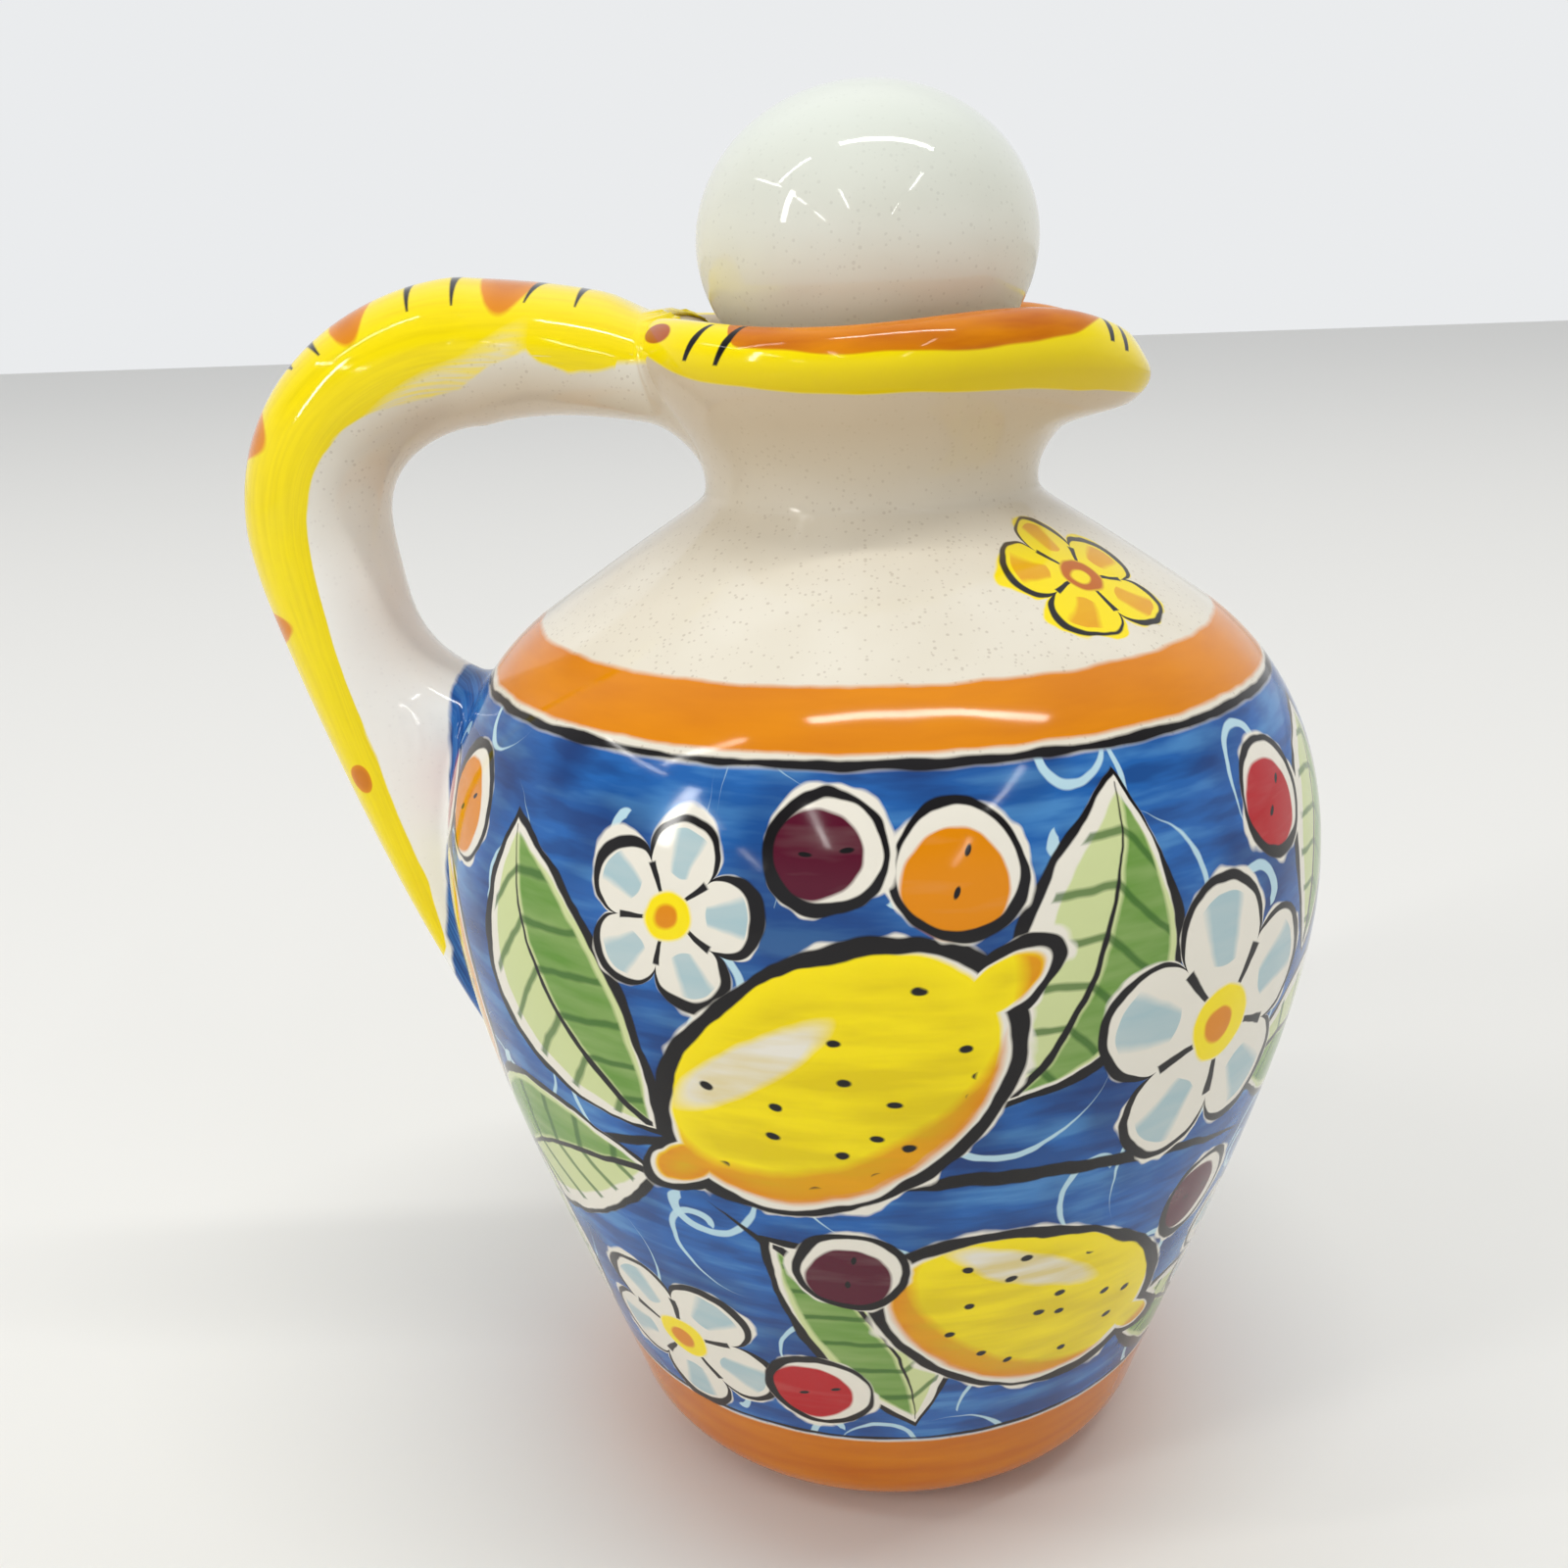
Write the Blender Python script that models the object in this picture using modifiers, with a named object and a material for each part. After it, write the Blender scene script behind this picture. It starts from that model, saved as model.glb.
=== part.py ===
"""Oil cruet: a thrown earthenware jug with a pulled strap handle, closed by a hollow ball on a cork.

Metres, +Z up. The origin is the middle of the foot on the surface the jug stands on, the pouring lip
points along +X and the handle along -X. Run it with blender --background --python part.py.
"""

import math

import bmesh
import bpy
from mathutils import Vector

MM = 0.001

# The pot, as radii from its axis and the height that each stretch rises
WALL = 5.0 * MM
FOOT_RADIUS = 26.5 * MM
FOOT_ROUND_OUT = 8.0 * MM
FOOT_ROUND_UP = 7.5 * MM
WALL_LEAN = math.radians(17.2)
BELLY_RADIUS = 53.0 * MM
BELLY_HEIGHT = 77.0 * MM
SHOULDER_INSET = 13.6 * MM
SHOULDER_RISE = 30.1 * MM
SHOULDER_PITCH = math.radians(34.7)
NECK_RADIUS = 19.4 * MM
NECK_RISE = 14.9 * MM
MOUTH_FLARE = 7.6 * MM
MOUTH_RISE = 18.8 * MM
RIM_THICKNESS = 6.5 * MM
RIM_ROLL_HEIGHT = 4.3 * MM

# How far each stretch of the outline keeps its direction before it turns into the next
FOOT_EASE_OUT = 4.0 * MM
FOOT_EASE_UP = 3.7 * MM
WALL_EASE = 21.0 * MM
BELLY_EASE_BELOW = 18.5 * MM
BELLY_EASE_ABOVE = 11.8 * MM
SHOULDER_EASE_OUTER = 12.4 * MM
SHOULDER_EASE_INNER = 23.1 * MM
NECK_EASE_BELOW = 2.8 * MM
NECK_EASE_ABOVE = 5.5 * MM
RIM_EASE = 4.5 * MM

# The pouring lip, pulled out of the soft rim by a finger
LIP_REACH = 4.4 * MM
LIP_DROP = 3.0 * MM
LIP_HALF_ANGLE = math.radians(58)
LIP_PINCH = 1.0 * MM

# The handle, an oval strap whose middle line starts inside the rim and ends inside the belly
HANDLE_WIDTH = 19.0 * MM
HANDLE_THICKNESS = 16.8 * MM
HANDLE_END_WIDTH = 25.0 * MM
HANDLE_RIM_THICKNESS = 12.4 * MM
HANDLE_ROOT_THICKNESS = 8.0 * MM
HANDLE_RIM_SINK = 10.0 * MM
HANDLE_RIM_DROP = 7.6 * MM
HANDLE_CREST_OUT = 18.8 * MM
HANDLE_CREST_DROP = 3.3 * MM
HANDLE_STANDOFF = 13.2 * MM
HANDLE_REACH_DROP = 22.6 * MM
HANDLE_ROOT_DROP = 28.0 * MM
HANDLE_ROOT_SINK = 4.9 * MM
HANDLE_RIM_SLOPE = math.radians(16)
HANDLE_ROOT_LEAN = math.radians(41)
HANDLE_EASE_RIM = 18.4 * MM
HANDLE_EASE_CREST_IN = 4.0 * MM
HANDLE_EASE_CREST_OUT = 6.7 * MM
HANDLE_EASE_REACH_IN = 13.9 * MM
HANDLE_EASE_REACH_OUT = 6.9 * MM
HANDLE_EASE_ROOT = 18.2 * MM

# The smoothed slip that fills the corners on the strap's finger side, and the stretch of the strap,
# as shares of the way from the rim to the crest and from the reach to the root, that each one takes
HANDLE_RIM_FILLET = 3.2 * MM
HANDLE_RIM_FILLET_END = 0.15
HANDLE_ROOT_FILLET = 12.8 * MM
HANDLE_ROOT_FILLET_START = 0.21
HANDLE_ROOT_FILLET_END = 0.43

# The stopper
BALL_CLEARANCE = 1.3 * MM
BALL_HALF_HEIGHT = 16.7 * MM
BALL_WALL = 4.0 * MM
BALL_HOLE_RADIUS = 9.0 * MM
CORK_LENGTH = 27.0 * MM
CORK_TAPER = 0.07
CORK_ABOVE_NECK = 10.9 * MM
CORK_SHANK_LENGTH = 9.0 * MM
CORK_CHAMFER = 1.0 * MM

# Clearances between pieces
LUTED_GAP = 0.3 * MM
CORK_GAP = 0.3 * MM
SEAT_GAP = 0.3 * MM

# How many flat faces go round each piece
POT_SIDES = 48
BALL_SIDES = 32
CORK_SIDES = 32
STRAP_SIDES = 24

# How many straight steps each bend is cut into
FOOT_STEPS = 4
WALL_STEPS = 7
BELLY_STEPS = 6
SHOULDER_STEPS = 8
MOUTH_STEPS = 5
RIM_ROLL_STEPS = 8
HANDLE_TOP_STEPS = 12
HANDLE_TURN_STEPS = 9
HANDLE_BACK_STEPS = 16
BALL_OUTER_STEPS = 16
BALL_INNER_STEPS = 10

# An edge that bends by more than this stays sharp when a face is shaded smooth
SHARP_ANGLE = math.radians(40)

# What follows from the sizes above
SHOULDER_RADIUS = BELLY_RADIUS - SHOULDER_INSET
SHOULDER_HEIGHT = BELLY_HEIGHT + SHOULDER_RISE
NECK_HEIGHT = SHOULDER_HEIGHT + NECK_RISE
RIM_RADIUS = NECK_RADIUS + MOUTH_FLARE
RIM_HEIGHT = NECK_HEIGHT + MOUTH_RISE
BORE_RADIUS = NECK_RADIUS - WALL
BALL_RADIUS = RIM_RADIUS - RIM_THICKNESS - BALL_CLEARANCE


def clear_scene():
    """Removes every object of the scene that this script starts in."""
    for obj in list(bpy.data.objects):
        bpy.data.objects.remove(obj, do_unlink=True)


def new_collection(name):
    """A collection of that name, linked to the scene."""
    collection = bpy.data.collections.new(name)
    bpy.context.scene.collection.children.link(collection)
    return collection


def finish(name, color, roughness):
    """A Principled material with one colour and roughness."""
    material = bpy.data.materials.new(name)
    material.use_nodes = True
    shader = material.node_tree.nodes["Principled BSDF"]
    shader.inputs["Base Color"].default_value = (*color, 1.0)
    shader.inputs["Roughness"].default_value = roughness
    shader.inputs["Metallic"].default_value = 0.0
    material.diffuse_color = (*color, 1.0)
    return material


def bend(start, leave, end, arrive, count):
    """Points of a smooth bend from start to end, with the start left out.

    leave is how far and which way it sets off, arrive how far and which way it comes in.
    """
    start, end = Vector(start), Vector(end)
    first, second = start + Vector(leave), end - Vector(arrive)
    points = []
    for step in range(1, count + 1):
        t = step / count
        s = 1.0 - t
        points.append(start * s**3 + first * 3 * s * s * t + second * 3 * s * t * t + end * t**3)
    return points


def pot_outline():
    """The outside of the pot from the foot's middle to the outside of the rim, as (radius, height)."""
    up = Vector((0.0, 1.0))
    wall_way = Vector((math.sin(WALL_LEAN), math.cos(WALL_LEAN)))
    shoulder_way = Vector((-math.cos(SHOULDER_PITCH), math.sin(SHOULDER_PITCH)))
    foot = (FOOT_RADIUS, 0.0)
    foot_top = (FOOT_RADIUS + FOOT_ROUND_OUT, FOOT_ROUND_UP)
    belly = (BELLY_RADIUS, BELLY_HEIGHT)
    shoulder = (SHOULDER_RADIUS, SHOULDER_HEIGHT)
    neck = (NECK_RADIUS, NECK_HEIGHT)
    rim = (RIM_RADIUS, RIM_HEIGHT - RIM_ROLL_HEIGHT)
    points = [Vector((0.0, 0.0)), Vector(foot)]
    points += bend(foot, (FOOT_EASE_OUT, 0.0), foot_top, wall_way * FOOT_EASE_UP, FOOT_STEPS)
    points += bend(foot_top, wall_way * WALL_EASE, belly, up * BELLY_EASE_BELOW, WALL_STEPS)
    over = shoulder_way * SHOULDER_EASE_OUTER
    points += bend(belly, up * BELLY_EASE_ABOVE, shoulder, over, BELLY_STEPS)
    onto_neck = shoulder_way * SHOULDER_EASE_INNER
    points += bend(shoulder, onto_neck, neck, up * NECK_EASE_BELOW, SHOULDER_STEPS)
    points += bend(neck, up * NECK_EASE_ABOVE, rim, up * RIM_EASE, MOUTH_STEPS)
    return points


def moved_along_normals(points, distance):
    """An outline moved out by that distance, or in where it is negative."""
    moved = []
    for i, point in enumerate(points):
        before = points[max(i - 1, 0)]
        after = points[min(i + 1, len(points) - 1)]
        along = (after - before).normalized()
        moved.append(point + Vector((along.y, -along.x)) * distance)
    moved[0].x = 0.0
    return moved


def rim_roll():
    """The round top of the rim, from its outer side over to the throat."""
    middle = RIM_RADIUS - RIM_THICKNESS / 2
    base = RIM_HEIGHT - RIM_ROLL_HEIGHT
    points = []
    for step in range(1, RIM_ROLL_STEPS + 1):
        angle = math.pi * step / RIM_ROLL_STEPS
        out, up = math.cos(angle), math.sin(angle)
        points.append(Vector((middle + out * RIM_THICKNESS / 2, base + up * RIM_ROLL_HEIGHT)))
    return points


def throat():
    """The inside of the mouth, from the rim's inner side down to the bore of the neck."""
    rim = (RIM_RADIUS - RIM_THICKNESS, RIM_HEIGHT - RIM_ROLL_HEIGHT)
    bore = (BORE_RADIUS, NECK_HEIGHT)
    return bend(rim, (0.0, -RIM_EASE), bore, (0.0, -NECK_EASE_ABOVE), MOUTH_STEPS)


def turned(name, outline, steps, collection):
    """A closed solid turned round Z from an outline of (radius, height) that runs down its outer side."""
    mesh = bpy.data.meshes.new(name)
    corners = [(radius, 0.0, height) for radius, height in outline]
    edges = [(i, i + 1) for i in range(len(corners) - 1)]
    mesh.from_pydata(corners, edges, [])
    obj = bpy.data.objects.new(name, mesh)
    collection.objects.link(obj)
    screw = obj.modifiers.new("turn", "SCREW")
    screw.axis = "Z"
    screw.steps = steps
    screw.render_steps = steps
    screw.use_merge_vertices = True
    screw.merge_threshold = 0.00001
    return obj


def applied(obj):
    """Puts the result of the object's modifiers in its mesh."""
    graph = bpy.context.evaluated_depsgraph_get()
    mesh = bpy.data.meshes.new_from_object(obj.evaluated_get(graph))
    obj.modifiers.clear()
    obj.data = mesh
    return obj


def smoothed(obj):
    """Shades round faces smooth and keeps sharp edges sharp."""
    obj.data.shade_smooth()
    obj.data.set_sharp_from_angle(angle=SHARP_ANGLE)


def swell(offset, half_width):
    """1 at offset 0, falling smoothly to 0 at the half width."""
    if abs(offset) >= half_width:
        return 0.0
    return 0.5 + 0.5 * math.cos(math.pi * offset / half_width)


def pull_lip(mesh):
    """Pulls the rim out and down at +X, pinches it at both sides and fades this out down the neck."""
    for vertex in mesh.vertices:
        rise = (vertex.co.z - NECK_HEIGHT) / (RIM_HEIGHT - NECK_HEIGHT)
        if rise <= 0.0:
            continue
        fade = min(rise, 1.0) ** 2 * (3.0 - 2.0 * min(rise, 1.0))
        angle = math.atan2(vertex.co.y, vertex.co.x)
        pull = swell(angle, LIP_HALF_ANGLE)
        pinch = swell(abs(angle) - LIP_HALF_ANGLE, LIP_HALF_ANGLE / 2)
        radius = math.hypot(vertex.co.x, vertex.co.y)
        out = (LIP_REACH * pull**1.5 - LIP_PINCH * pinch) * fade
        vertex.co.x += out * vertex.co.x / radius
        vertex.co.y += out * vertex.co.y / radius
        vertex.co.z -= LIP_DROP * pull**2 * fade


def make_pot(collection):
    """The thrown pot: one wall from foot to rim, open at the mouth."""
    outside = pot_outline()
    below_neck = [point for point in outside if point.y <= NECK_HEIGHT]
    inside = moved_along_normals(below_neck, -WALL)
    inside.reverse()
    up_outside_and_down_inside = outside + rim_roll() + throat() + inside[1:]
    up_outside_and_down_inside.reverse()
    pot = turned("jug_body", up_outside_and_down_inside, POT_SIDES, collection)
    applied(pot)
    pull_lip(pot.data)
    smoothed(pot)
    pot.data.materials.append(finish("white_glaze_pot", (0.72, 0.68, 0.62), 0.12))
    return pot


def make_pot_envelope(collection):
    """A cutter: the filled pot, grown by the gap that the luted handle keeps."""
    roll = rim_roll()
    up_to_crest = roll[: len(roll) // 2]
    grown = moved_along_normals(pot_outline() + up_to_crest, LUTED_GAP)
    grown.append(Vector((0.0, grown[-1].y)))
    grown.reverse()
    cutter = turned("pot_envelope", grown, POT_SIDES, collection)
    applied(cutter)
    cutter.hide_render = True
    cutter.display_type = "WIRE"
    return cutter


def pot_radius_at(height):
    """The radius of the outside of the pot at a height."""
    outline = pot_outline()
    for lower, upper in zip(outline, outline[1:]):
        if lower.y <= height <= upper.y and upper.y > lower.y:
            share = (height - lower.y) / (upper.y - lower.y)
            return lower.x + share * (upper.x - lower.x)
    return NECK_RADIUS


def blend(first, last, share):
    """The value that lies that share of the way from the first to the last."""
    return first + (last - first) * share


def strap_station(middle, thickness, width, fillet):
    """One section of the strap: its middle (x, z), half sizes and how far its finger side is filled out."""
    return {"middle": middle, "half": thickness / 2, "side": width / 2, "fillet": fillet}


def strap_stations():
    """The sections of the strap from inside the rim, over the crest and the reach, to inside the belly."""
    left, down = Vector((-1.0, 0.0)), Vector((0.0, -1.0))
    off_rim = Vector((-math.cos(HANDLE_RIM_SLOPE), math.sin(HANDLE_RIM_SLOPE)))
    into_root = Vector((math.sin(HANDLE_ROOT_LEAN), -math.cos(HANDLE_ROOT_LEAN)))
    root_height = BELLY_HEIGHT - HANDLE_ROOT_DROP
    rim = Vector((HANDLE_RIM_SINK - RIM_RADIUS, RIM_HEIGHT - HANDLE_RIM_DROP))
    crest = Vector((-RIM_RADIUS - HANDLE_CREST_OUT, RIM_HEIGHT - HANDLE_CREST_DROP))
    reach = Vector((-BELLY_RADIUS - HANDLE_STANDOFF, RIM_HEIGHT - HANDLE_REACH_DROP))
    root = Vector((HANDLE_ROOT_SINK - pot_radius_at(root_height), root_height))
    stations = [strap_station(rim, HANDLE_RIM_THICKNESS, HANDLE_END_WIDTH, HANDLE_RIM_FILLET)]
    crest_in, crest_out = left * HANDLE_EASE_CREST_IN, left * HANDLE_EASE_CREST_OUT
    over = bend(rim, off_rim * HANDLE_EASE_RIM, crest, crest_in, HANDLE_TOP_STEPS)
    for step, middle in enumerate(over, 1):
        share = step / len(over)
        thickness = blend(HANDLE_RIM_THICKNESS, HANDLE_THICKNESS, share)
        width = blend(HANDLE_END_WIDTH, HANDLE_WIDTH, share)
        fillet = HANDLE_RIM_FILLET * max(1.0 - share / HANDLE_RIM_FILLET_END, 0.0) ** 2
        stations.append(strap_station(middle, thickness, width, fillet))
    out = bend(crest, crest_out, reach, down * HANDLE_EASE_REACH_IN, HANDLE_TURN_STEPS)
    for middle in out:
        stations.append(strap_station(middle, HANDLE_THICKNESS, HANDLE_WIDTH, 0.0))
    reach_out = down * HANDLE_EASE_REACH_OUT
    back = bend(reach, reach_out, root, into_root * HANDLE_EASE_ROOT, HANDLE_BACK_STEPS)
    fillet_span = HANDLE_ROOT_FILLET_END - HANDLE_ROOT_FILLET_START
    for step, middle in enumerate(back, 1):
        share = step / len(back)
        thickness = blend(HANDLE_THICKNESS, HANDLE_ROOT_THICKNESS, share**1.5)
        width = blend(HANDLE_WIDTH, HANDLE_END_WIDTH, share)
        filled = min(max((share - HANDLE_ROOT_FILLET_START) / fillet_span, 0.0), 1.0)
        stations.append(strap_station(middle, thickness, width, HANDLE_ROOT_FILLET * filled**3))
    return stations


def strap_ring(shape, station, along):
    """The corners of one oval section, square to the strap and filled out on the finger side."""
    finger_side = Vector((-along.y, along.x))
    ring = []
    for side in range(STRAP_SIDES):
        angle = math.tau * side / STRAP_SIDES
        reach = math.cos(angle) * station["half"]
        if reach > 0.0:
            reach += math.cos(angle) * station["fillet"]
        offset = finger_side * reach
        y = math.sin(angle) * station["side"]
        corner = (station["middle"].x + offset.x, y, station["middle"].y + offset.y)
        ring.append(shape.verts.new(corner))
    return ring


def make_handle(collection, cutter):
    """The strap: oval sections lofted along its middle line, then cut back to the outside of the pot."""
    stations = strap_stations()
    shape = bmesh.new()
    rings = []
    for i, station in enumerate(stations):
        before = stations[max(i - 1, 0)]["middle"]
        after = stations[min(i + 1, len(stations) - 1)]["middle"]
        rings.append(strap_ring(shape, station, (after - before).normalized()))
    for ring, following in zip(rings, rings[1:]):
        for side in range(STRAP_SIDES):
            after = (side + 1) % STRAP_SIDES
            shape.faces.new((ring[side], ring[after], following[after], following[side]))
    shape.faces.new(reversed(rings[0]))
    shape.faces.new(rings[-1])
    bmesh.ops.recalc_face_normals(shape, faces=shape.faces)
    mesh = bpy.data.meshes.new("handle")
    shape.to_mesh(mesh)
    shape.free()
    handle = bpy.data.objects.new("handle", mesh)
    collection.objects.link(handle)
    cut = handle.modifiers.new("fit to pot", "BOOLEAN")
    cut.operation = "DIFFERENCE"
    cut.solver = "EXACT"
    cut.object = cutter
    applied(handle)
    smoothed(handle)
    handle.data.materials.append(finish("yellow_glaze_handle", (0.86, 0.68, 0.03), 0.15))
    return handle


def cork_top():
    """The height of the flat top of the cork's plug, which the ball sits on."""
    return NECK_HEIGHT + CORK_ABOVE_NECK


def cork_radius_at(height):
    """The plug's radius, which just clears the bore where the neck is narrowest."""
    return BORE_RADIUS - CORK_GAP + (height - NECK_HEIGHT) * CORK_TAPER


def make_cork(collection):
    """The cork: a tapered plug in the neck and a shank glued into the ball."""
    top = cork_top()
    bottom = top - CORK_LENGTH
    shank = BALL_HOLE_RADIUS - CORK_GAP
    shank_top = top + CORK_SHANK_LENGTH
    outline = (
        (0.0, shank_top),
        (shank - CORK_CHAMFER, shank_top),
        (shank, shank_top - CORK_CHAMFER),
        (shank, top),
        (cork_radius_at(top) - CORK_CHAMFER, top),
        (cork_radius_at(top), top - CORK_CHAMFER),
        (cork_radius_at(bottom), bottom + CORK_CHAMFER),
        (cork_radius_at(bottom) - CORK_CHAMFER, bottom),
        (0.0, bottom),
    )
    cork = turned("stopper_cork", outline, CORK_SIDES, collection)
    applied(cork)
    smoothed(cork)
    cork.data.materials.append(finish("cork", (0.45, 0.28, 0.14), 0.85))
    return cork


def make_ball(collection):
    """The hollow ball, open underneath where the cork's shank goes in."""
    inner_radius = BALL_RADIUS - BALL_WALL
    inner_half_height = BALL_HALF_HEIGHT - BALL_WALL
    outer_end = math.acos(BALL_HOLE_RADIUS / BALL_RADIUS)
    inner_end = math.acos(BALL_HOLE_RADIUS / inner_radius)
    outside = []
    for step in range(BALL_OUTER_STEPS + 1):
        angle = math.pi / 2 - (math.pi / 2 + outer_end) * step / BALL_OUTER_STEPS
        outside.append((BALL_RADIUS * math.cos(angle), BALL_HALF_HEIGHT * math.sin(angle)))
    inside = []
    for step in range(BALL_INNER_STEPS + 1):
        angle = -inner_end + (math.pi / 2 + inner_end) * step / BALL_INNER_STEPS
        inside.append((inner_radius * math.cos(angle), inner_half_height * math.sin(angle)))
    outside[0] = (0.0, BALL_HALF_HEIGHT)
    inside[-1] = (0.0, inner_half_height)
    hole_rim_below_middle = BALL_HALF_HEIGHT * math.sin(outer_end)
    middle = cork_top() + SEAT_GAP + hole_rim_below_middle
    ball = turned("stopper_ball", outside + inside, BALL_SIDES, collection)
    applied(ball)
    smoothed(ball)
    ball.location.z = middle
    ball.data.materials.append(finish("white_glaze_ball", (0.74, 0.72, 0.66), 0.1))
    return ball


def main():
    clear_scene()
    parts = new_collection("oil_cruet")
    cutters = new_collection("cutters")
    cutters.hide_render = True
    envelope = make_pot_envelope(cutters)
    make_pot(parts)
    make_handle(parts, envelope)
    make_cork(parts)
    make_ball(parts)


main()
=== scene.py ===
import math

import bpy
import numpy as np
from mathutils import Matrix, Vector


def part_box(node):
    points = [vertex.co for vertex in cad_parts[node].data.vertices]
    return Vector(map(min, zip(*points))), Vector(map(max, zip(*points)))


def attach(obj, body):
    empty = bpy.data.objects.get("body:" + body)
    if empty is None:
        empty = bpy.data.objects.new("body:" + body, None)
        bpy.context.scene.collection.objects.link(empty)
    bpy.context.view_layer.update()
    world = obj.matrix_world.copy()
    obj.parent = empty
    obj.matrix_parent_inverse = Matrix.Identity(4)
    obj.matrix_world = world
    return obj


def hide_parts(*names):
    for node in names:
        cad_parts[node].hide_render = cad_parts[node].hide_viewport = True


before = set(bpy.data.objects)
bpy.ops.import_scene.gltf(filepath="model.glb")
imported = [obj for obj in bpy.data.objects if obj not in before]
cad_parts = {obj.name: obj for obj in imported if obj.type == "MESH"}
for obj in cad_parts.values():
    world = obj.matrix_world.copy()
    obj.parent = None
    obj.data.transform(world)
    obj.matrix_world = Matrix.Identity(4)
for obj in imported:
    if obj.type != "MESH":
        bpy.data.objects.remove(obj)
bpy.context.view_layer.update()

# The jug itself is one pot of white earthenware, thrown on a wheel with a wall 5 mm thick. Its rim
# is rolled outwards, and a finger has pulled the pouring lip out of it while the clay was soft.
MM = 0.001
pot_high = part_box("jug_body")[1]
WALL = 5.0 * MM
FOOT_RADIUS = 24.0 * MM
FOOT_ROUND_OUT, FOOT_ROUND_UP = 10.5 * MM, 7.5 * MM
WALL_LEAN = math.radians(17.2)
BELLY_RADIUS, BELLY_HEIGHT = pot_high.y, 77.0 * MM
SHOULDER_RADIUS, SHOULDER_HEIGHT = BELLY_RADIUS - 13.6 * MM, BELLY_HEIGHT + 30.1 * MM
SHOULDER_PITCH = math.radians(34.7)
NECK_RADIUS, NECK_HEIGHT = 19.4 * MM, SHOULDER_HEIGHT + 14.9 * MM
RIM_RADIUS, RIM_HEIGHT = NECK_RADIUS + 7.6 * MM, pot_high.z
RIM_THICKNESS, RIM_ROLL_HEIGHT = 6.5 * MM, 4.3 * MM
LIP_REACH, LIP_DROP, LIP_PINCH, LIP_HANG = 3.8 * MM, 3.0 * MM, 1.0 * MM, 5.0 * MM
LIP_HALF_ANGLE = math.radians(58)
HANG_MIDDLE, HANG_BELOW, HANG_ABOVE = 0.45, 0.15, 0.5
RIM_SAG, SAG_MIDDLE, SAG_HALF_ANGLE = 1.0 * MM, math.radians(104), math.radians(54)
POT_SIDES, FOOT_RINGS, ROLL_RINGS = 192, 4, 24


def bend(start, leave, end, arrive, count):
    """Points of a smooth bend, with its start left out. The pulls, leave and arrive, give the way that
    it runs at each end and how long it keeps to it."""
    start, end = np.array(start), np.array(end)
    first, second = start + np.array(leave), end - np.array(arrive)
    t = np.arange(1, count + 1)[:, None] / count
    s = 1.0 - t
    return start * s**3 + first * 3 * s * s * t + second * 3 * s * t * t + end * t**3


def heading(angle):
    """A step of length 1 in the upright plane, as (outwards, up), at an angle above level."""
    return np.array((math.cos(angle), math.sin(angle)))


def pot_outside():
    """The outside of the pot from the middle of the foot to the outer edge of the rolled rim."""
    up = np.array((0.0, 1.0))
    wall_way = heading(math.pi / 2 - WALL_LEAN)
    shoulder_way = heading(math.pi - SHOULDER_PITCH)
    foot, foot_top = (FOOT_RADIUS, 0.0), (FOOT_RADIUS + FOOT_ROUND_OUT, FOOT_ROUND_UP)
    belly, shoulder = (BELLY_RADIUS, BELLY_HEIGHT), (SHOULDER_RADIUS, SHOULDER_HEIGHT)
    neck, rim = (NECK_RADIUS, NECK_HEIGHT), (RIM_RADIUS, RIM_HEIGHT - RIM_ROLL_HEIGHT)
    return np.vstack((
        [(ring / FOOT_RINGS * FOOT_RADIUS, 0.0) for ring in range(1, FOOT_RINGS + 1)],
        bend(foot, (4.0 * MM, 0.0), foot_top, wall_way * 3.7 * MM, 10),
        bend(foot_top, wall_way * 21.0 * MM, belly, up * 18.5 * MM, 36),
        bend(belly, up * 11.8 * MM, shoulder, shoulder_way * 12.4 * MM, 22),
        bend(shoulder, shoulder_way * 23.1 * MM, neck, up * 2.8 * MM, 34),
        bend(neck, up * 5.5 * MM, rim, up * 4.5 * MM, 24),
    ))


def rim_and_throat():
    """Over the round top of the rim and down the inside of the mouth to the bore of the neck."""
    middle, base = RIM_RADIUS - RIM_THICKNESS / 2, RIM_HEIGHT - RIM_ROLL_HEIGHT
    turn = np.linspace(0.0, math.pi, ROLL_RINGS + 1)[1:]
    half = RIM_THICKNESS / 2
    roll = np.column_stack((middle + np.cos(turn) * half, base + np.sin(turn) * RIM_ROLL_HEIGHT))
    bore = (NECK_RADIUS - WALL, NECK_HEIGHT)
    throat = bend((middle - half, base), (0.0, -4.5 * MM), bore, (0.0, -5.5 * MM), 16)
    return np.vstack((roll, throat))


def unit(steps):
    """The same steps, each with a length of 1."""
    return steps / np.linalg.norm(steps, axis=-1, keepdims=True)


def outward(outline):
    """The way straight out at each point of an outline that runs up the outside."""
    along = unit(np.gradient(outline, axis=0))
    return np.column_stack((along[:, 1], -along[:, 0]))


def swell(offset, half_width):
    """1 at offset 0, falling smoothly to 0 at the half width."""
    near = np.minimum(np.abs(offset) / half_width, 1.0)
    return 0.5 + 0.5 * np.cos(math.pi * near)


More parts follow.
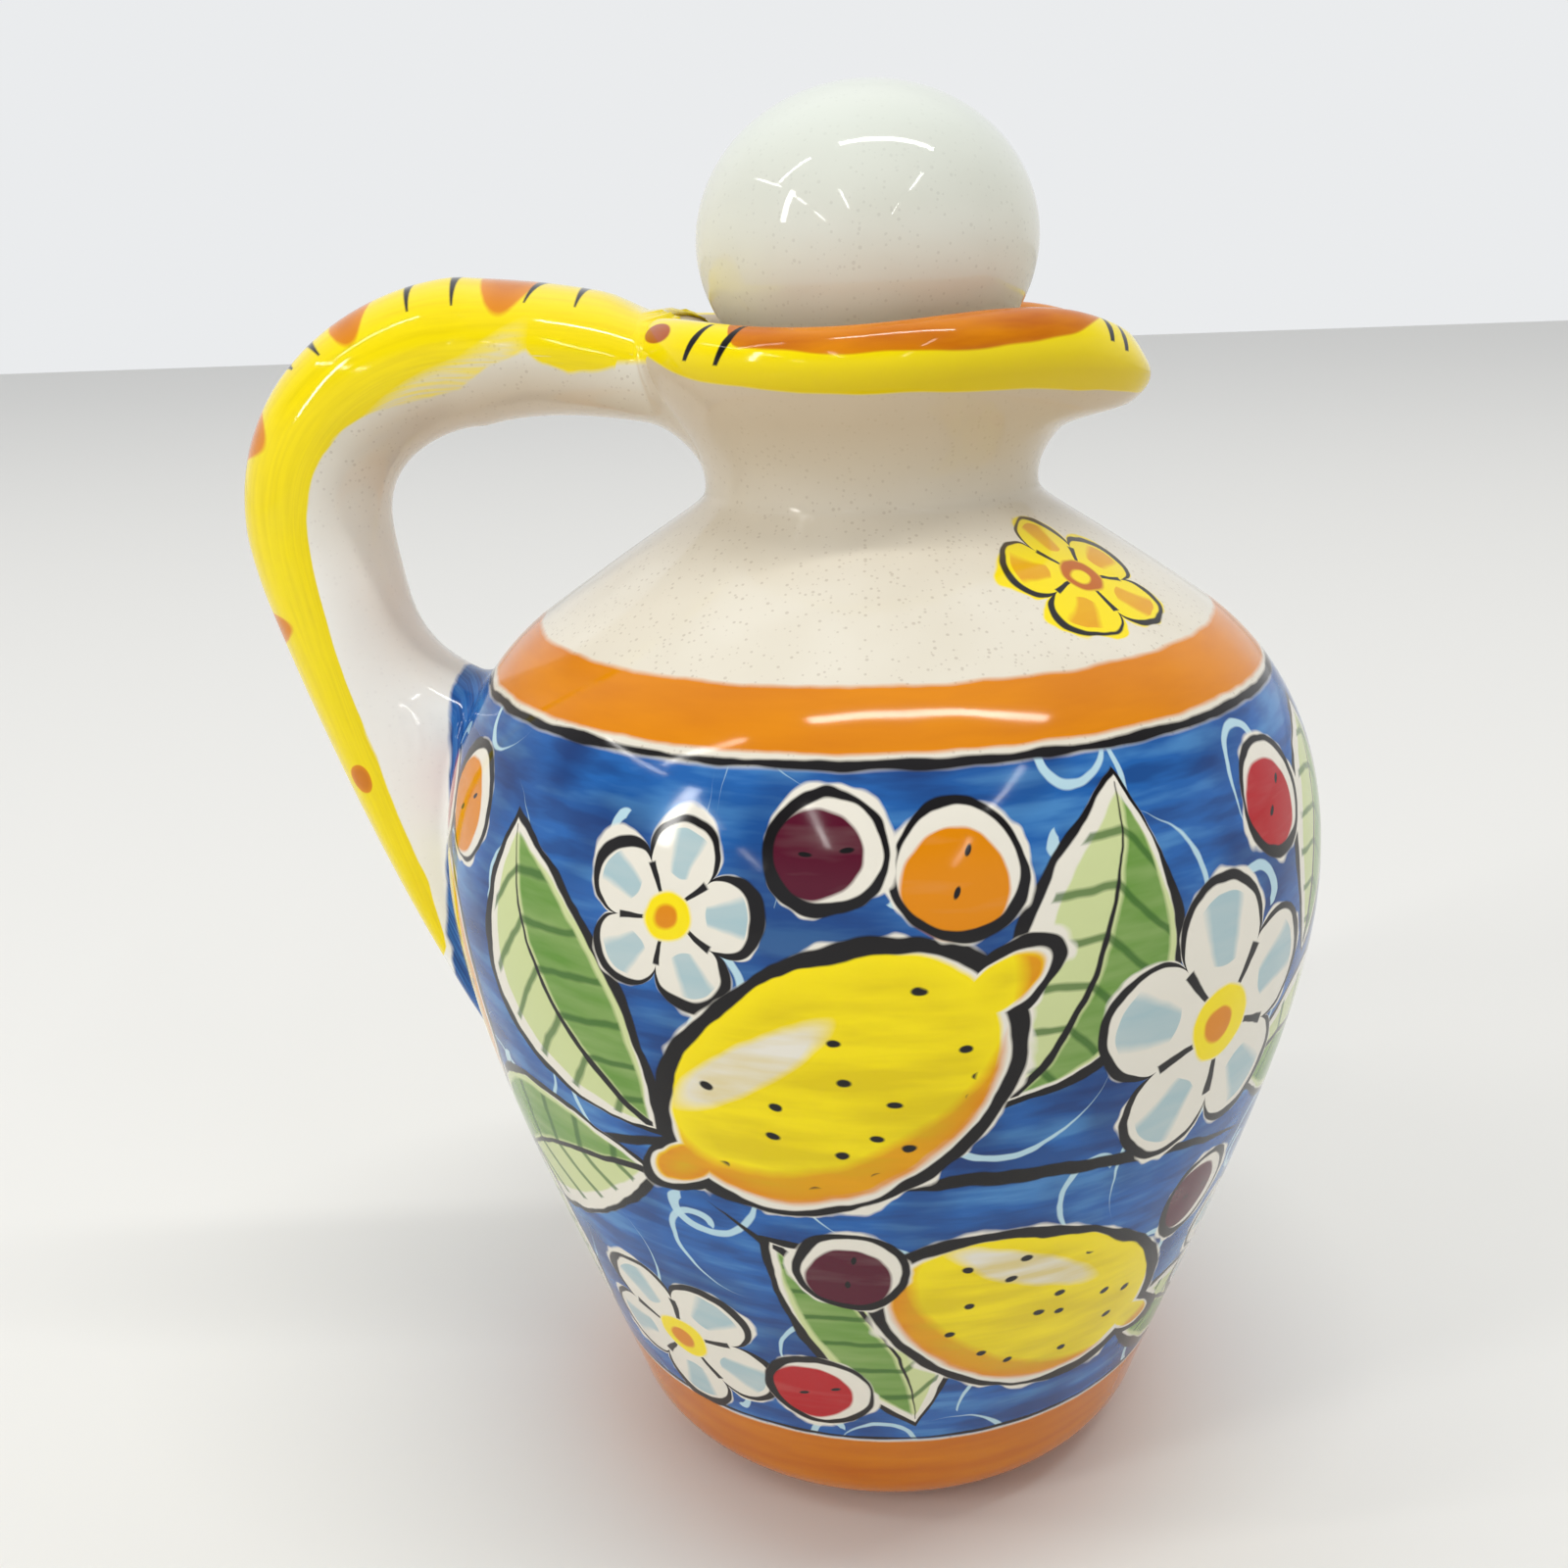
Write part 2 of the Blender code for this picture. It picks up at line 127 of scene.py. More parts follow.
def pull_lip(points):
    """Pulls the rim out and down at +X, pinches and sinks it at both sides and fades down the neck."""
    rise = np.clip((points[..., 2] - NECK_HEIGHT) / (RIM_HEIGHT - NECK_HEIGHT), 0.0, 1.0)
    fade = rise**3 * (4.0 - 3.0 * rise)
    angle = np.arctan2(points[..., 1], points[..., 0])
    pull = swell(angle, LIP_HALF_ANGLE)
    pinch = swell(np.abs(angle) - LIP_HALF_ANGLE, LIP_HALF_ANGLE / 2)
    out = (LIP_REACH * pull**1.5 - LIP_PINCH * pinch) * fade
    hang_width = np.where(rise < HANG_MIDDLE, HANG_BELOW, HANG_ABOVE)
    out += LIP_HANG * pull**2 * swell(rise - HANG_MIDDLE, hang_width)
    sag = swell(np.abs(angle) - SAG_MIDDLE, SAG_HALF_ANGLE)
    moved = points.copy()
    moved[..., 0] += out * np.cos(angle)
    moved[..., 1] += out * np.sin(angle)
    moved[..., 2] -= (LIP_DROP * pull**2 + RIM_SAG * sag) * fade
    return moved


def turn_round(outline, sides):
    """Rings of points round Z, one for each (radius, height)."""
    angle = np.arange(sides) / sides * math.tau
    radius, height = outline[:, :1], outline[:, 1:]
    x, y = radius * np.cos(angle), radius * np.sin(angle)
    return np.stack((x, y, np.broadcast_to(height, x.shape)), axis=-1)


def skin(name, rings, first_cap, last_cap):
    """A closed smooth mesh over rings of points, with a point that closes each end."""
    count, sides = rings.shape[:2]
    points = np.vstack((rings.reshape(-1, 3), [first_cap], [last_cap]))
    faces = []
    for ring in range(count - 1):
        for side in range(sides):
            after = (side + 1) % sides
            near, far = ring * sides, (ring + 1) * sides
            faces.append((near + side, near + after, far + after, far + side))
    top = (count - 1) * sides
    for side in range(sides):
        after = (side + 1) % sides
        faces.append((after, side, count * sides))
        faces.append((top + side, top + after, count * sides + 1))
    mesh = bpy.data.meshes.new(name)
    mesh.from_pydata([tuple(point) for point in points], [], faces)
    mesh.shade_smooth()
    piece = bpy.data.objects.new(name, mesh)
    bpy.context.scene.collection.objects.link(piece)
    return piece


outside = pot_outside()
wall_outside = outside[FOOT_RINGS:]
over_rim = rim_and_throat()
below_neck = wall_outside[wall_outside[:, 1] < NECK_HEIGHT]
inside = (below_neck - outward(below_neck) * WALL)[::-1]
floor_inside = [(share * inside[-1, 0], WALL) for share in (0.75, 0.5, 0.25)]
pot_outline = np.vstack((outside, over_rim, inside, floor_inside))
pot_rings = pull_lip(turn_round(pot_outline, POT_SIDES))
jug = skin("jug_glazed", pot_rings, (0, 0, 0), (0, 0, WALL))


def pot_radius(height):
    """How far the outside of the pot's wall is from its axis at a height."""
    return np.interp(height, wall_outside[:, 1], wall_outside[:, 0])


def length_along(points):
    """How far along a line of points each of them lies."""
    steps = np.linalg.norm(np.diff(points, axis=0), axis=1)
    return np.concatenate(((0.0,), np.cumsum(steps)))


def note(piece, name, values):
    """Keeps a number for each point of a piece, for its material to read."""
    kept = piece.data.attributes.new(name, "FLOAT", "POINT")
    kept.data.foreach_set("value", values)


from_crown = length_along(pot_outline) / MM
from_crown -= from_crown[len(outside) + ROLL_RINGS // 2 - 1]
BARE_FOOT = 1.0 - from_crown[FOOT_RINGS - 1]
note(jug, "from_crown", np.concatenate((np.repeat(from_crown, POT_SIDES), from_crown[[0, -1]])))


class Wire:
    """What comes out of a shader node. A formula on wires adds the Math nodes that work it out."""

    def __init__(self, paint, socket):
        self.paint, self.socket = paint, socket

    def maths(self, operation, *others, clamp=False):
        values = dict(enumerate((self, *others)))
        return self.paint.node("Math", {"operation": operation, "use_clamp": clamp}, values)

    def out(self, name):
        """Another output of the same node."""
        return Wire(self.paint, self.socket.node.outputs[name])

    def __add__(self, other):
        return self.maths("ADD", other)

    def __sub__(self, other):
        return self.maths("SUBTRACT", other)

    def __rsub__(self, other):
        return self.paint.node("Math", {"operation": "SUBTRACT"}, {0: other, 1: self})

    def __mul__(self, other):
        return self.maths("MULTIPLY", other)

    def __abs__(self):
        return self.maths("ABSOLUTE")

    __radd__, __rmul__ = __add__, __mul__

    def least(self, other):
        return self.maths("MINIMUM", other)

    def most(self, other):
        return self.maths("MAXIMUM", other)

    def edge(self, softness):
        """1 where the value is below 0 and 0 above it, across an edge of that softness."""
        return self.maths("MULTIPLY_ADD", -1.0 / softness, 0.5, clamp=True)


class Paint:
    """One material, the nodes that paint it, and the picture that they have built up so far. A Mix
    node has sockets of one name for each kind of data, so its colour sockets go by number."""

    UNDER, OVER, MIXED = 6, 7, 2

    def __init__(self, name, kind=bpy.data.materials, shader="Principled BSDF"):
        self.material = kind.new(name)
        self.material.use_nodes = True
        self.tree = self.material.node_tree
        self.shader = self.tree.nodes[shader]
        self.picture = None

    def node(self, kind, settings=None, values=None, out=0):
        """A node of that kind: its settings first, then the values or wires of its sockets."""
        node = self.tree.nodes.new("ShaderNode" + kind)
        for name, value in (settings or {}).items():
            if name == "stops":
                self.stops(node.color_ramp, value)
            else:
                setattr(node, name, value)
        for name, value in (values or {}).items():
            if isinstance(value, Wire):
                self.tree.links.new(value.socket, node.inputs[name])
            else:
                node.inputs[name].default_value = value
        return Wire(self, node.outputs[out])

    def stops(self, ramp, stops):
        """Sets a colour ramp to (position, colour) pairs."""
        for position, colour in stops[2:]:
            ramp.elements.new(position)
        for element, (position, colour) in zip(ramp.elements, stops):
            element.position, element.color = position, colour

    def vector(self, operation, *values, out=0):
        return self.node("VectorMath", {"operation": operation}, dict(enumerate(values)), out)

    def lay(self, colour, share):
        """Lays a colour over the picture, by that share."""
        sockets = {"Factor": share, self.UNDER: self.picture, self.OVER: colour}
        self.picture = self.node("Mix", {"data_type": "RGBA"}, sockets, self.MIXED)

    def feed(self, **wires):
        """Joins wires to the shader's sockets, whose names have _ for a space."""
        for name, wire in wires.items():
            self.tree.links.new(wire.socket, self.shader.inputs[name.replace("_", " ")])

    def set(self, **values):
        """Sets the shader's sockets, whose names have _ for a space."""
        for name, value in values.items():
            self.shader.inputs[name.replace("_", " ")].default_value = value


def tint(red, green, blue):
    """A colour from its 8-bit values on a screen."""
    parts = [value / 255 for value in (red, green, blue)]
    return (*(p / 12.92 if p <= 0.04045 else ((p + 0.055) / 1.055) ** 2.4 for p in parts), 1.0)


WHITE, WARM_WHITE, SPECK = tint(234, 229, 216), tint(220, 212, 194), tint(128, 104, 80)
# A warm beige that stands for shade where it is laid on.
PAINTED_SHADE = tint(196, 176, 146)
BLACK, NAVY = tint(24, 22, 24), tint(18, 40, 96)
BLUE, LIGHT_BLUE, PALE_BLUE = tint(36, 98, 172), tint(84, 146, 202), tint(190, 222, 232)
YELLOW, OCHRE_YELLOW = tint(250, 226, 0), tint(214, 186, 0)
ORANGE, DARK_ORANGE = tint(224, 136, 0), tint(194, 102, 6)
GREEN, DARK_GREEN, LIGHT_GREEN = tint(98, 146, 54), tint(54, 102, 34), tint(206, 216, 156)
RED, BURGUNDY, GREY_BLUE = tint(182, 20, 30), tint(86, 14, 40), tint(146, 186, 198)


def tin_white(paint, spot):
    """The bare tin glaze: off-white, a little cloudy, with fine specks of the clay showing through."""
    paint.picture = WHITE
    paint.lay(WARM_WHITE, paint.node("TexNoise", None, {"Vector": spot, "Scale": 90.0, "Detail": 2.0}))
    speck = paint.node("TexVoronoi", None, {"Vector": spot, "Scale": 1500.0})
    size = paint.node("SeparateColor", None, {0: speck.out("Color")})
    paint.lay(SPECK, (speck - size * 0.3).edge(0.14) * 0.26)


def ripples(paint, spot, scale=75.0):
    """The faint waves of a glaze that has flowed in the kiln, as a bump."""
    waves = paint.node("TexNoise", None, {"Vector": spot, "Scale": scale, "Detail": 1.0})
    return paint.node("Bump", None, {"Strength": 0.12, "Distance": 0.002, "Height": waves})


glaze = Paint("glaze_painted")
spot = glaze.node("TexCoord", out="Object")
tin_white(glaze, spot)

# Places on the pot in millimetres: down from the crown of the rim, up from the table, and round the
# belly from the lip. The canvas holds the design once in each half of the round, a little shaken.
QUARTER_ROUND = 0.25 * math.tau * BELLY_RADIUS / MM
WOBBLE, LEVEL_WOBBLE = 1.4, 0.6
along = glaze.node("Attribute", {"attribute_name": "from_crown"}, out="Fac")
place = glaze.node("SeparateXYZ", None, {0: spot})
height = place.out("Z") * (1.0 / MM)
around = place.out("Y").maths("ARCTAN2", place) * (BELLY_RADIUS / MM)
u = (around + QUARTER_ROUND).maths("WRAP", QUARTER_ROUND, -QUARTER_ROUND)
shake = glaze.node("TexNoise", None, {"Vector": spot, "Scale": 170.0, "Detail": 2.0}, out="Color")
flat = glaze.node("CombineXYZ", None, {0: u - WOBBLE / 2, 1: height - WOBBLE / 2})
canvas = glaze.vector("MULTIPLY_ADD", shake, (WOBBLE, WOBBLE, 0.0), flat)
shake = glaze.node("SeparateColor", None, {0: shake})
level = height + shake * LEVEL_WOBBLE - LEVEL_WOBBLE / 2

# The painter's hand: the width of a pressed line, the loose fit of a fill inside its outline, the
# streaks of a wash drawn round on the wheel, and the seeds dotted over the lemons.
press = glaze.node("TexNoise", None, {"Vector": spot, "Scale": 110.0, "Detail": 1.0}) * 1.5 - 0.2
loose = shake.out("Green") * 4.6 - 1.6
drawn = glaze.node("Mapping", None, {"Vector": spot, "Scale": (70.0, 70.0, 420.0)})
wash = glaze.node("TexNoise", None, {"Vector": drawn, "Scale": 1.0, "Detail": 3.0})
sown = {"Vector": canvas, "Rotation": (0.0, 0.0, 0.5), "Scale": (0.12, 0.2, 1.0)}
sown = {"Vector": glaze.node("Mapping", None, sown), "Scale": 1.0, "Randomness": 0.8}
seeds = glaze.node("TexVoronoi", {"voronoi_dimensions": "2D"}, sown)


def placed(u, z, turn):
    """Coordinates in millimetres over the pot's surface, from a motif's own middle, turned."""
    reach = pot_radius(z * MM)
    slant = (pot_radius((z + 1) * MM) - reach) / MM
    across, up = reach / BELLY_RADIUS, math.hypot(1.0, slant)
    turn = math.radians(turn)
    cos, sin = math.cos(turn), math.sin(turn)
    left, down = -across * u, -up * z
    local = glaze.node("Mapping", None, {
        "Vector": canvas,
        "Location": (left * cos + down * sin, down * cos - left * sin, 0.0),
        "Rotation": (0.0, 0.0, -turn),
        "Scale": (across, up, 1.0),
    })
    return local, glaze.node("SeparateXYZ", None, {0: local})


def tapered(u, z, turn, length, width, bow):
    """A shape that tapers to both ends and bends sideways by the bow: the part of its length, how far
    to one side of its rib a point lies, how far from the rib, and how far outside its edge."""
    _, a = placed(u, z, turn)
    part = a * (1.0 / length)
    swelling = part * (1.0 - part) * 4.0
    rib = a.out("Y") - swelling * bow
    side = abs(rib)
    return part, rib, side, side - swelling * (width / 2)


def stem(u, z, turn, length, width, bow):
    """A black stem in one stroke of the brush."""
    *_, distance = tapered(u, z, turn, length, width, bow)
    glaze.lay(BLACK, distance.edge(0.25))


def outlined(distance, thickness=1.0):
    """The black outline round a motif, thick and thin with the pressure of the brush."""
    glaze.lay(BLACK, (abs(distance) - press * thickness).edge(0.22))


def leaf(u, z, turn, length, width, bow):
    """A two-tone leaf with a dark lower half, veins and a white gap inside its outline."""
    part, rib, side, distance = tapered(u, z, turn, length, width, bow)
    glaze.lay(WHITE, (distance - 0.2).edge(0.4))
    glaze.lay(LIGHT_GREEN, (distance + 1.7 + rib * 0.14).edge(0.35))
    glaze.lay(GREEN, (distance + 1.5).most(rib + 0.6).edge(0.5) * (wash * 0.7 + 0.5))
    vein = (part * 7.0 + side * 0.09).maths("PINGPONG", 0.5)
    glaze.lay(DARK_GREEN, (vein * 4.0 - 0.34).most(distance + 1.6).edge(0.3) * 0.8)
    glaze.lay(BLACK, (side - 0.55 + part * 0.5).most(distance + 1.0).edge(0.2))
    outlined(distance)


def lemon(u, z, turn, length, width):
    """A yellow fruit with a nib at each end, orange shade below and a white gap for its shine."""
    local, a = placed(u, z, turn)
    body = glaze.vector("MULTIPLY", local, (2.0 / length, 2.0 / width, 0.0))
    far = glaze.vector("LENGTH", body, out="Value")
    nib = glaze.vector("MULTIPLY_ADD", glaze.vector("ABSOLUTE", body), (3.2, 4.6, 0.0), (-3.2, 0.0, 0.0))
    nib = glaze.vector("LENGTH", nib, out="Value")
    distance = (far - 1.0).least((nib - 1.0) * 0.3) * (width / 2)
    glaze.lay(WHITE, (distance - loose.most(0.2)).edge(0.4))
    glaze.lay(YELLOW, (distance + 1.1 - a.out("Y") * 0.06).edge(0.35))
    shade = glaze.vector("MULTIPLY_ADD", body, (0.9, 0.95, 0.0), (-0.12, -0.34, 0.0))
    shade = glaze.vector("LENGTH", shade, out="Value")
    glaze.lay(ORANGE, (0.94 - shade).most(distance * 0.12 + 0.14).edge(0.08) * (wash * 0.6 + 0.6))
    shine = glaze.vector("MULTIPLY_ADD", body, (1.8, 5.0, 0.0), (0.5, -2.4, 0.0))
    glaze.lay(WHITE, (glaze.vector("LENGTH", shine, out="Value") - 0.85).edge(0.3))
    glaze.lay(OCHRE_YELLOW, (distance * 0.2 + 0.5).edge(0.5) * (0.46 - wash).edge(0.3) * 0.6)
    glaze.lay(BLACK, (seeds * 9.0 - 0.8).most(distance + 3.0).edge(0.3))
    outlined(distance)


def blossom(u, z, turn, reach, fill=WHITE, dab=GREY_BLUE, heart=YELLOW, seed=ORANGE):
    """A flower of five round petals, with a translucent dab on each and a bright heart."""
    local, a = placed(u, z, turn)
    far = glaze.vector("LENGTH", local, out="Value")
    way = a.out("Y").maths("ARCTAN2", a)
    lobe = abs((way * 2.5).maths("COSINE"))
    distance = far - (lobe.maths("POWER", 0.6) * 0.4 + 0.6) * reach
    glaze.lay(fill, (distance - loose.most(0.1)).edge(0.4))
    dabbed = (abs(far - reach * 0.66) - lobe * (reach * 0.24)).most(0.86 - lobe).edge(0.12)
    glaze.lay(dab, dabbed * (wash * 0.5 + 0.45))
    glaze.lay(BLACK, (abs(far - reach * 0.42) - reach * 0.14).most(lobe * 3.0 - 0.55).edge(0.2))
    outlined(distance, 0.9)
    glaze.lay(heart, (far - reach * 0.27).edge(0.4))
    glaze.lay(seed, (far - reach * 0.13 + a * 0.2).edge(0.4))


def berry(colour, u, z, turn, reach):
    """A small round fruit on a white ground, with two black ticks."""
    local, a = placed(u, z, turn)
    far = glaze.vector("LENGTH", local, out="Value")
    distance = far - reach
    glaze.lay(WHITE, (distance - loose.most(0.2)).edge(0.4))
    glaze.lay(colour, (distance + 1.3 + a * 0.26).edge(0.4) * (wash * 0.3 + 0.86).least(1.0))
    outlined(distance, 0.85)
    pair = glaze.vector("ABSOLUTE", local)
    pair = glaze.vector("MULTIPLY_ADD", pair, (1.0, 2.2, 0.0), (-reach * 0.34, 0.0, 0.0))
    glaze.lay(BLACK, (glaze.vector("LENGTH", pair, out="Value") - 0.62).edge(0.25))


def scrolls(zone, size, turn, thickness):
    """Pale commas and hooks over a zone, one in each square of a slanting grid, each with a turn, a
    size and a place by chance: a spiral that grows by a fixed share as it winds."""
    sockets = {"Vector": canvas, "Rotation": (0.0, 0.0, turn), "Scale": (1 / size, 1 / size, 1.0)}
    square = glaze.node("Mapping", None, sockets)
    corner = glaze.vector("FLOOR", square)
    chance = glaze.node("TexWhiteNoise", {"noise_dimensions": "2D"}, {"Vector": corner}, out="Color")
    local = glaze.vector("SUBTRACT", square, corner)
    local = glaze.vector("SUBTRACT", local, (0.5, 0.5, 0.0))
    local = glaze.vector("MULTIPLY_ADD", chance, (0.16, 0.16, 0.0), local)
    local = glaze.vector("SUBTRACT", local, (0.08, 0.08, 0.0))
    chance = glaze.node("SeparateColor", None, {0: chance})
    a = glaze.node("SeparateXYZ", None, {0: local})
    far = glaze.vector("LENGTH", local, out="Value")
    way = (a.out("Y").maths("ARCTAN2", a) + chance.out("Blue") * 6.28).maths("WRAP", math.pi, -math.pi)
    spiral = glaze.node("Math", {"operation": "POWER"}, {0: 1.62, 1: way}) * (chance * 0.05 + 0.12)
    taper = ((2.3 - abs(way)) * 1.3).least(1.0) * (1.0 - way * 0.2)
    line = abs(far - spiral) * size - taper * thickness
    glaze.lay(PALE_BLUE, line.edge(0.2) * zone * 0.92)


# Between two bands the belly is painted all round on a streaky blue ground.
GROUND_FOOT, GROUND_TOP = 16.4, 100.7
ground = (level - GROUND_TOP).most(GROUND_FOOT - level).edge(0.5)
glaze.lay(BLUE, ground)
glaze.lay(LIGHT_BLUE, ground * (0.58 - wash).edge(0.16) * 0.7)
glaze.lay(NAVY, ground * (wash - 0.42).edge(0.1) * 0.45)
glaze.lay(NAVY, ground * (0.6 - press).edge(0.4) * 0.6)
scrolls(ground, 27.0, 0.35, 0.6)
scrolls(ground, 21.0, -0.6, 0.48)

# The design, in millimetres and degrees: for each motif its place round the belly, its height and its
# turn, and then its length, width and bow, or how far it reaches from its middle.
stem(-74, 58, 8, 62, 1.6, -5)
stem(-18, 56, -4, 66, 1.8, 5)
stem(-20, 54, -62, 34, 1.5, 4)
leaf(-24, 62, 121, 37, 20, 4)
leaf(-26, 56, 203, 40, 19, -4)
leaf(-14, 50, -62, 36, 18, 4)
leaf(12, 68, 66, 34, 18, -3)
leaf(44, 62, -14, 34, 18, 4)
leaf(36, 30, -30, 28, 14, 2)
leaf(57, 72, 64, 29, 15, 2)
leaf(-56, 48, -96, 32, 16, -2)
blossom(-21, 87, 5, 9.5)
lemon(-5, 70, 34, 40, 27)
lemon(20, 37, -28, 38, 25)
lemon(-67, 68, 96, 34, 24)
blossom(38, 71, 20, 16)
blossom(-32, 28, 50, 12.5)
blossom(64, 34, 10, 12)
berry(ORANGE, -57, 91, 30, 6.4)
berry(RED, -69, 88, -20, 5.8)
berry(ORANGE, 8, 92, 70, 6.2)
berry(BURGUNDY, -5, 94, 10, 5.6)
berry(RED, 50, 92, 45, 6.0)
berry(BURGUNDY, -4, 46, 80, 5.8)
berry(RED, -10, 25, 20, 6.0)
berry(ORANGE, -74, 34, 60, 6.0)
berry(BURGUNDY, 44, 46, 0, 5.6)

# One plain flower stands by itself on the white shoulder.
blossom(44.0, 113.5, 15, 9.6, YELLOW, ORANGE, DARK_ORANGE, YELLOW)

# An orange band closes the design above and below, each with a black line on its blue side.
BAND_MIDDLE, BAND_HALF_WIDTH, BAND_LINE = 104.5, 2.5, 101.1
BASE_TOP, BASE_LINE = 16.0, 16.7
band = (abs(level - BAND_MIDDLE) - BAND_HALF_WIDTH).edge(0.4)
glaze.lay(ORANGE, band)
glaze.lay(DARK_ORANGE, band * (0.62 - wash).edge(0.5) * 0.55)
glaze.lay(BLACK, (abs(level - BAND_LINE) - press * 0.75).edge(0.25))
base = (level - BASE_TOP).edge(0.4)
glaze.lay(DARK_ORANGE, base)
glaze.lay(ORANGE, base * (wash - 0.5).edge(0.5) * 0.6)
glaze.lay(BLACK, (abs(level - BASE_LINE) - press * 0.4).edge(0.2))

# Painted shade: the top of the shoulder and the neck are tinted warm beige, more strongly up towards the
# rim that hangs over them.
SHADE_FROM = 122.0
glaze.lay(PAINTED_SHADE, (SHADE_FROM - height).edge(16.0) * 0.8)

# The rim is yellow outside. One long orange stroke runs along its top, in a point towards the lip
# and blunt at the handle, with a dab beside the joint and pairs of leaning black ticks.
STROKE_TIP, STROKE_POINT, JOINT_FROM, DAB_WAY, DAB_DOWN = 11.4, 27.0, 56.0, 70.5, 2.4
RIM_TICKS = ((62.6, -5.4, -0.6), (58.0, -5.6, -0.4), (11.4, -4.6, -0.8), (8.6, -5.4, -1.8))
THROAT_WHITE_FROM = 3.2
rim_way = abs(around) * (RIM_RADIUS / BELLY_RADIUS)
over_edge = along + press * 0.8
by_joint = (rim_way - JOINT_FROM).most(0.0)
by_joint = by_joint * by_joint
yellow_foot = by_joint * 0.006 + rim_way * 0.062 - 10.9
rim_yellow = (over_edge - 1.6).most(yellow_foot - over_edge).edge(0.3)
glaze.lay(YELLOW, rim_yellow)
# Painted shade: the rim's yellow turns ochre towards its lower outer edge, which faces down.
glaze.lay(OCHRE_YELLOW, rim_yellow * (along + 6.0).edge(4.0) * 0.8)
point = (STROKE_POINT - rim_way).most(0.0)
stroke_foot = point * point * 0.02 + by_joint * 0.3 + rim_way * 0.05 - 6.0
rim_orange = (over_edge - 2.6).most(stroke_foot - over_edge).most(STROKE_TIP - rim_way).edge(0.3)
glaze.lay(DARK_ORANGE, rim_orange)
glaze.lay(ORANGE, rim_orange * (0.44 - wash).edge(0.3) * 0.9)
dab, lower = (rim_way - DAB_WAY) * 0.42, over_edge + DAB_DOWN
glaze.lay(tint(176, 84, 16), (dab * dab + lower * lower - 1.7).edge(0.5))
for way, low, high in RIM_TICKS:
    slip = abs(along - (low + high) / 2)
    tick = abs(rim_way + along * 0.4 - way + 1.2) - 0.55 + slip * 0.1
    glaze.lay(BLACK, tick.most(slip - (high - low) / 2).edge(0.2))
glaze.lay(WHITE, (THROAT_WHITE_FROM - along).edge(0.8))

# The foot ring that stands on the table is bare clay.
bare = (along + BARE_FOOT).edge(0.6)
glaze.lay(tint(206, 184, 158), bare)
roughness = bare * 0.5 + (wash * 0.07 + 0.05)
glaze.set(Specular_IOR_Level=0.28)
glaze.feed(Base_Color=glaze.picture, Roughness=roughness, Normal=ripples(glaze, spot))
jug.data.materials.append(glaze.material)
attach(jug, "jug")
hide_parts("jug_body")

# The handle is a strap of the same clay, pulled and bent by hand. Both ends are pressed onto the
# soft pot, and the joints are filled with slip and smoothed, so that the glaze runs over them.
HANDLE_WIDTH, HANDLE_THICKNESS = 19.0 * MM, 16.8 * MM
HANDLE_END_WIDTH = 25.0 * MM
HANDLE_RIM_THICKNESS, HANDLE_ROOT_THICKNESS = 12.6 * MM, 7.2 * MM
OFF_RIM_ANGLE, INTO_ROOT_ANGLE = math.radians(16), math.radians(41)
handle_rim = np.array((10.0 * MM - RIM_RADIUS, RIM_HEIGHT - 7.2 * MM))
handle_crest = np.array((-RIM_RADIUS - 18.8 * MM, RIM_HEIGHT - 3.3 * MM))
handle_reach = np.array((-BELLY_RADIUS - 13.2 * MM, RIM_HEIGHT - 22.6 * MM))
ROOT_HEIGHT, ROOT_DEPTH = BELLY_HEIGHT - 28.0 * MM, 4.9 * MM
RIM_FILLING, ROOT_FILLING, BACK_SLIMMING = 3.2 * MM, 12.2 * MM, 1.8 * MM
LAP_START, LAP_END, LAP_THICKNESS = 30.0 * MM, 22.3 * MM, 1.5 * MM
RIM_FILLET, ROOT_FILLET, FINGER_FILLET = 1.0 * MM, 1.2 * MM, 0.8 * MM
SUNK_EDGE, SUNK_END = 0.3 * MM, 1.5 * MM
OVER_ROWS, OUT_ROWS, BACK_ROWS, FREE_ROWS, FILLET_ROWS = 60, 40, 100, 109, 10
HANDLE_SIDES, SMOOTHING = 64, 60
round_strap = np.arange(HANDLE_SIDES) / HANDLE_SIDES * math.tau


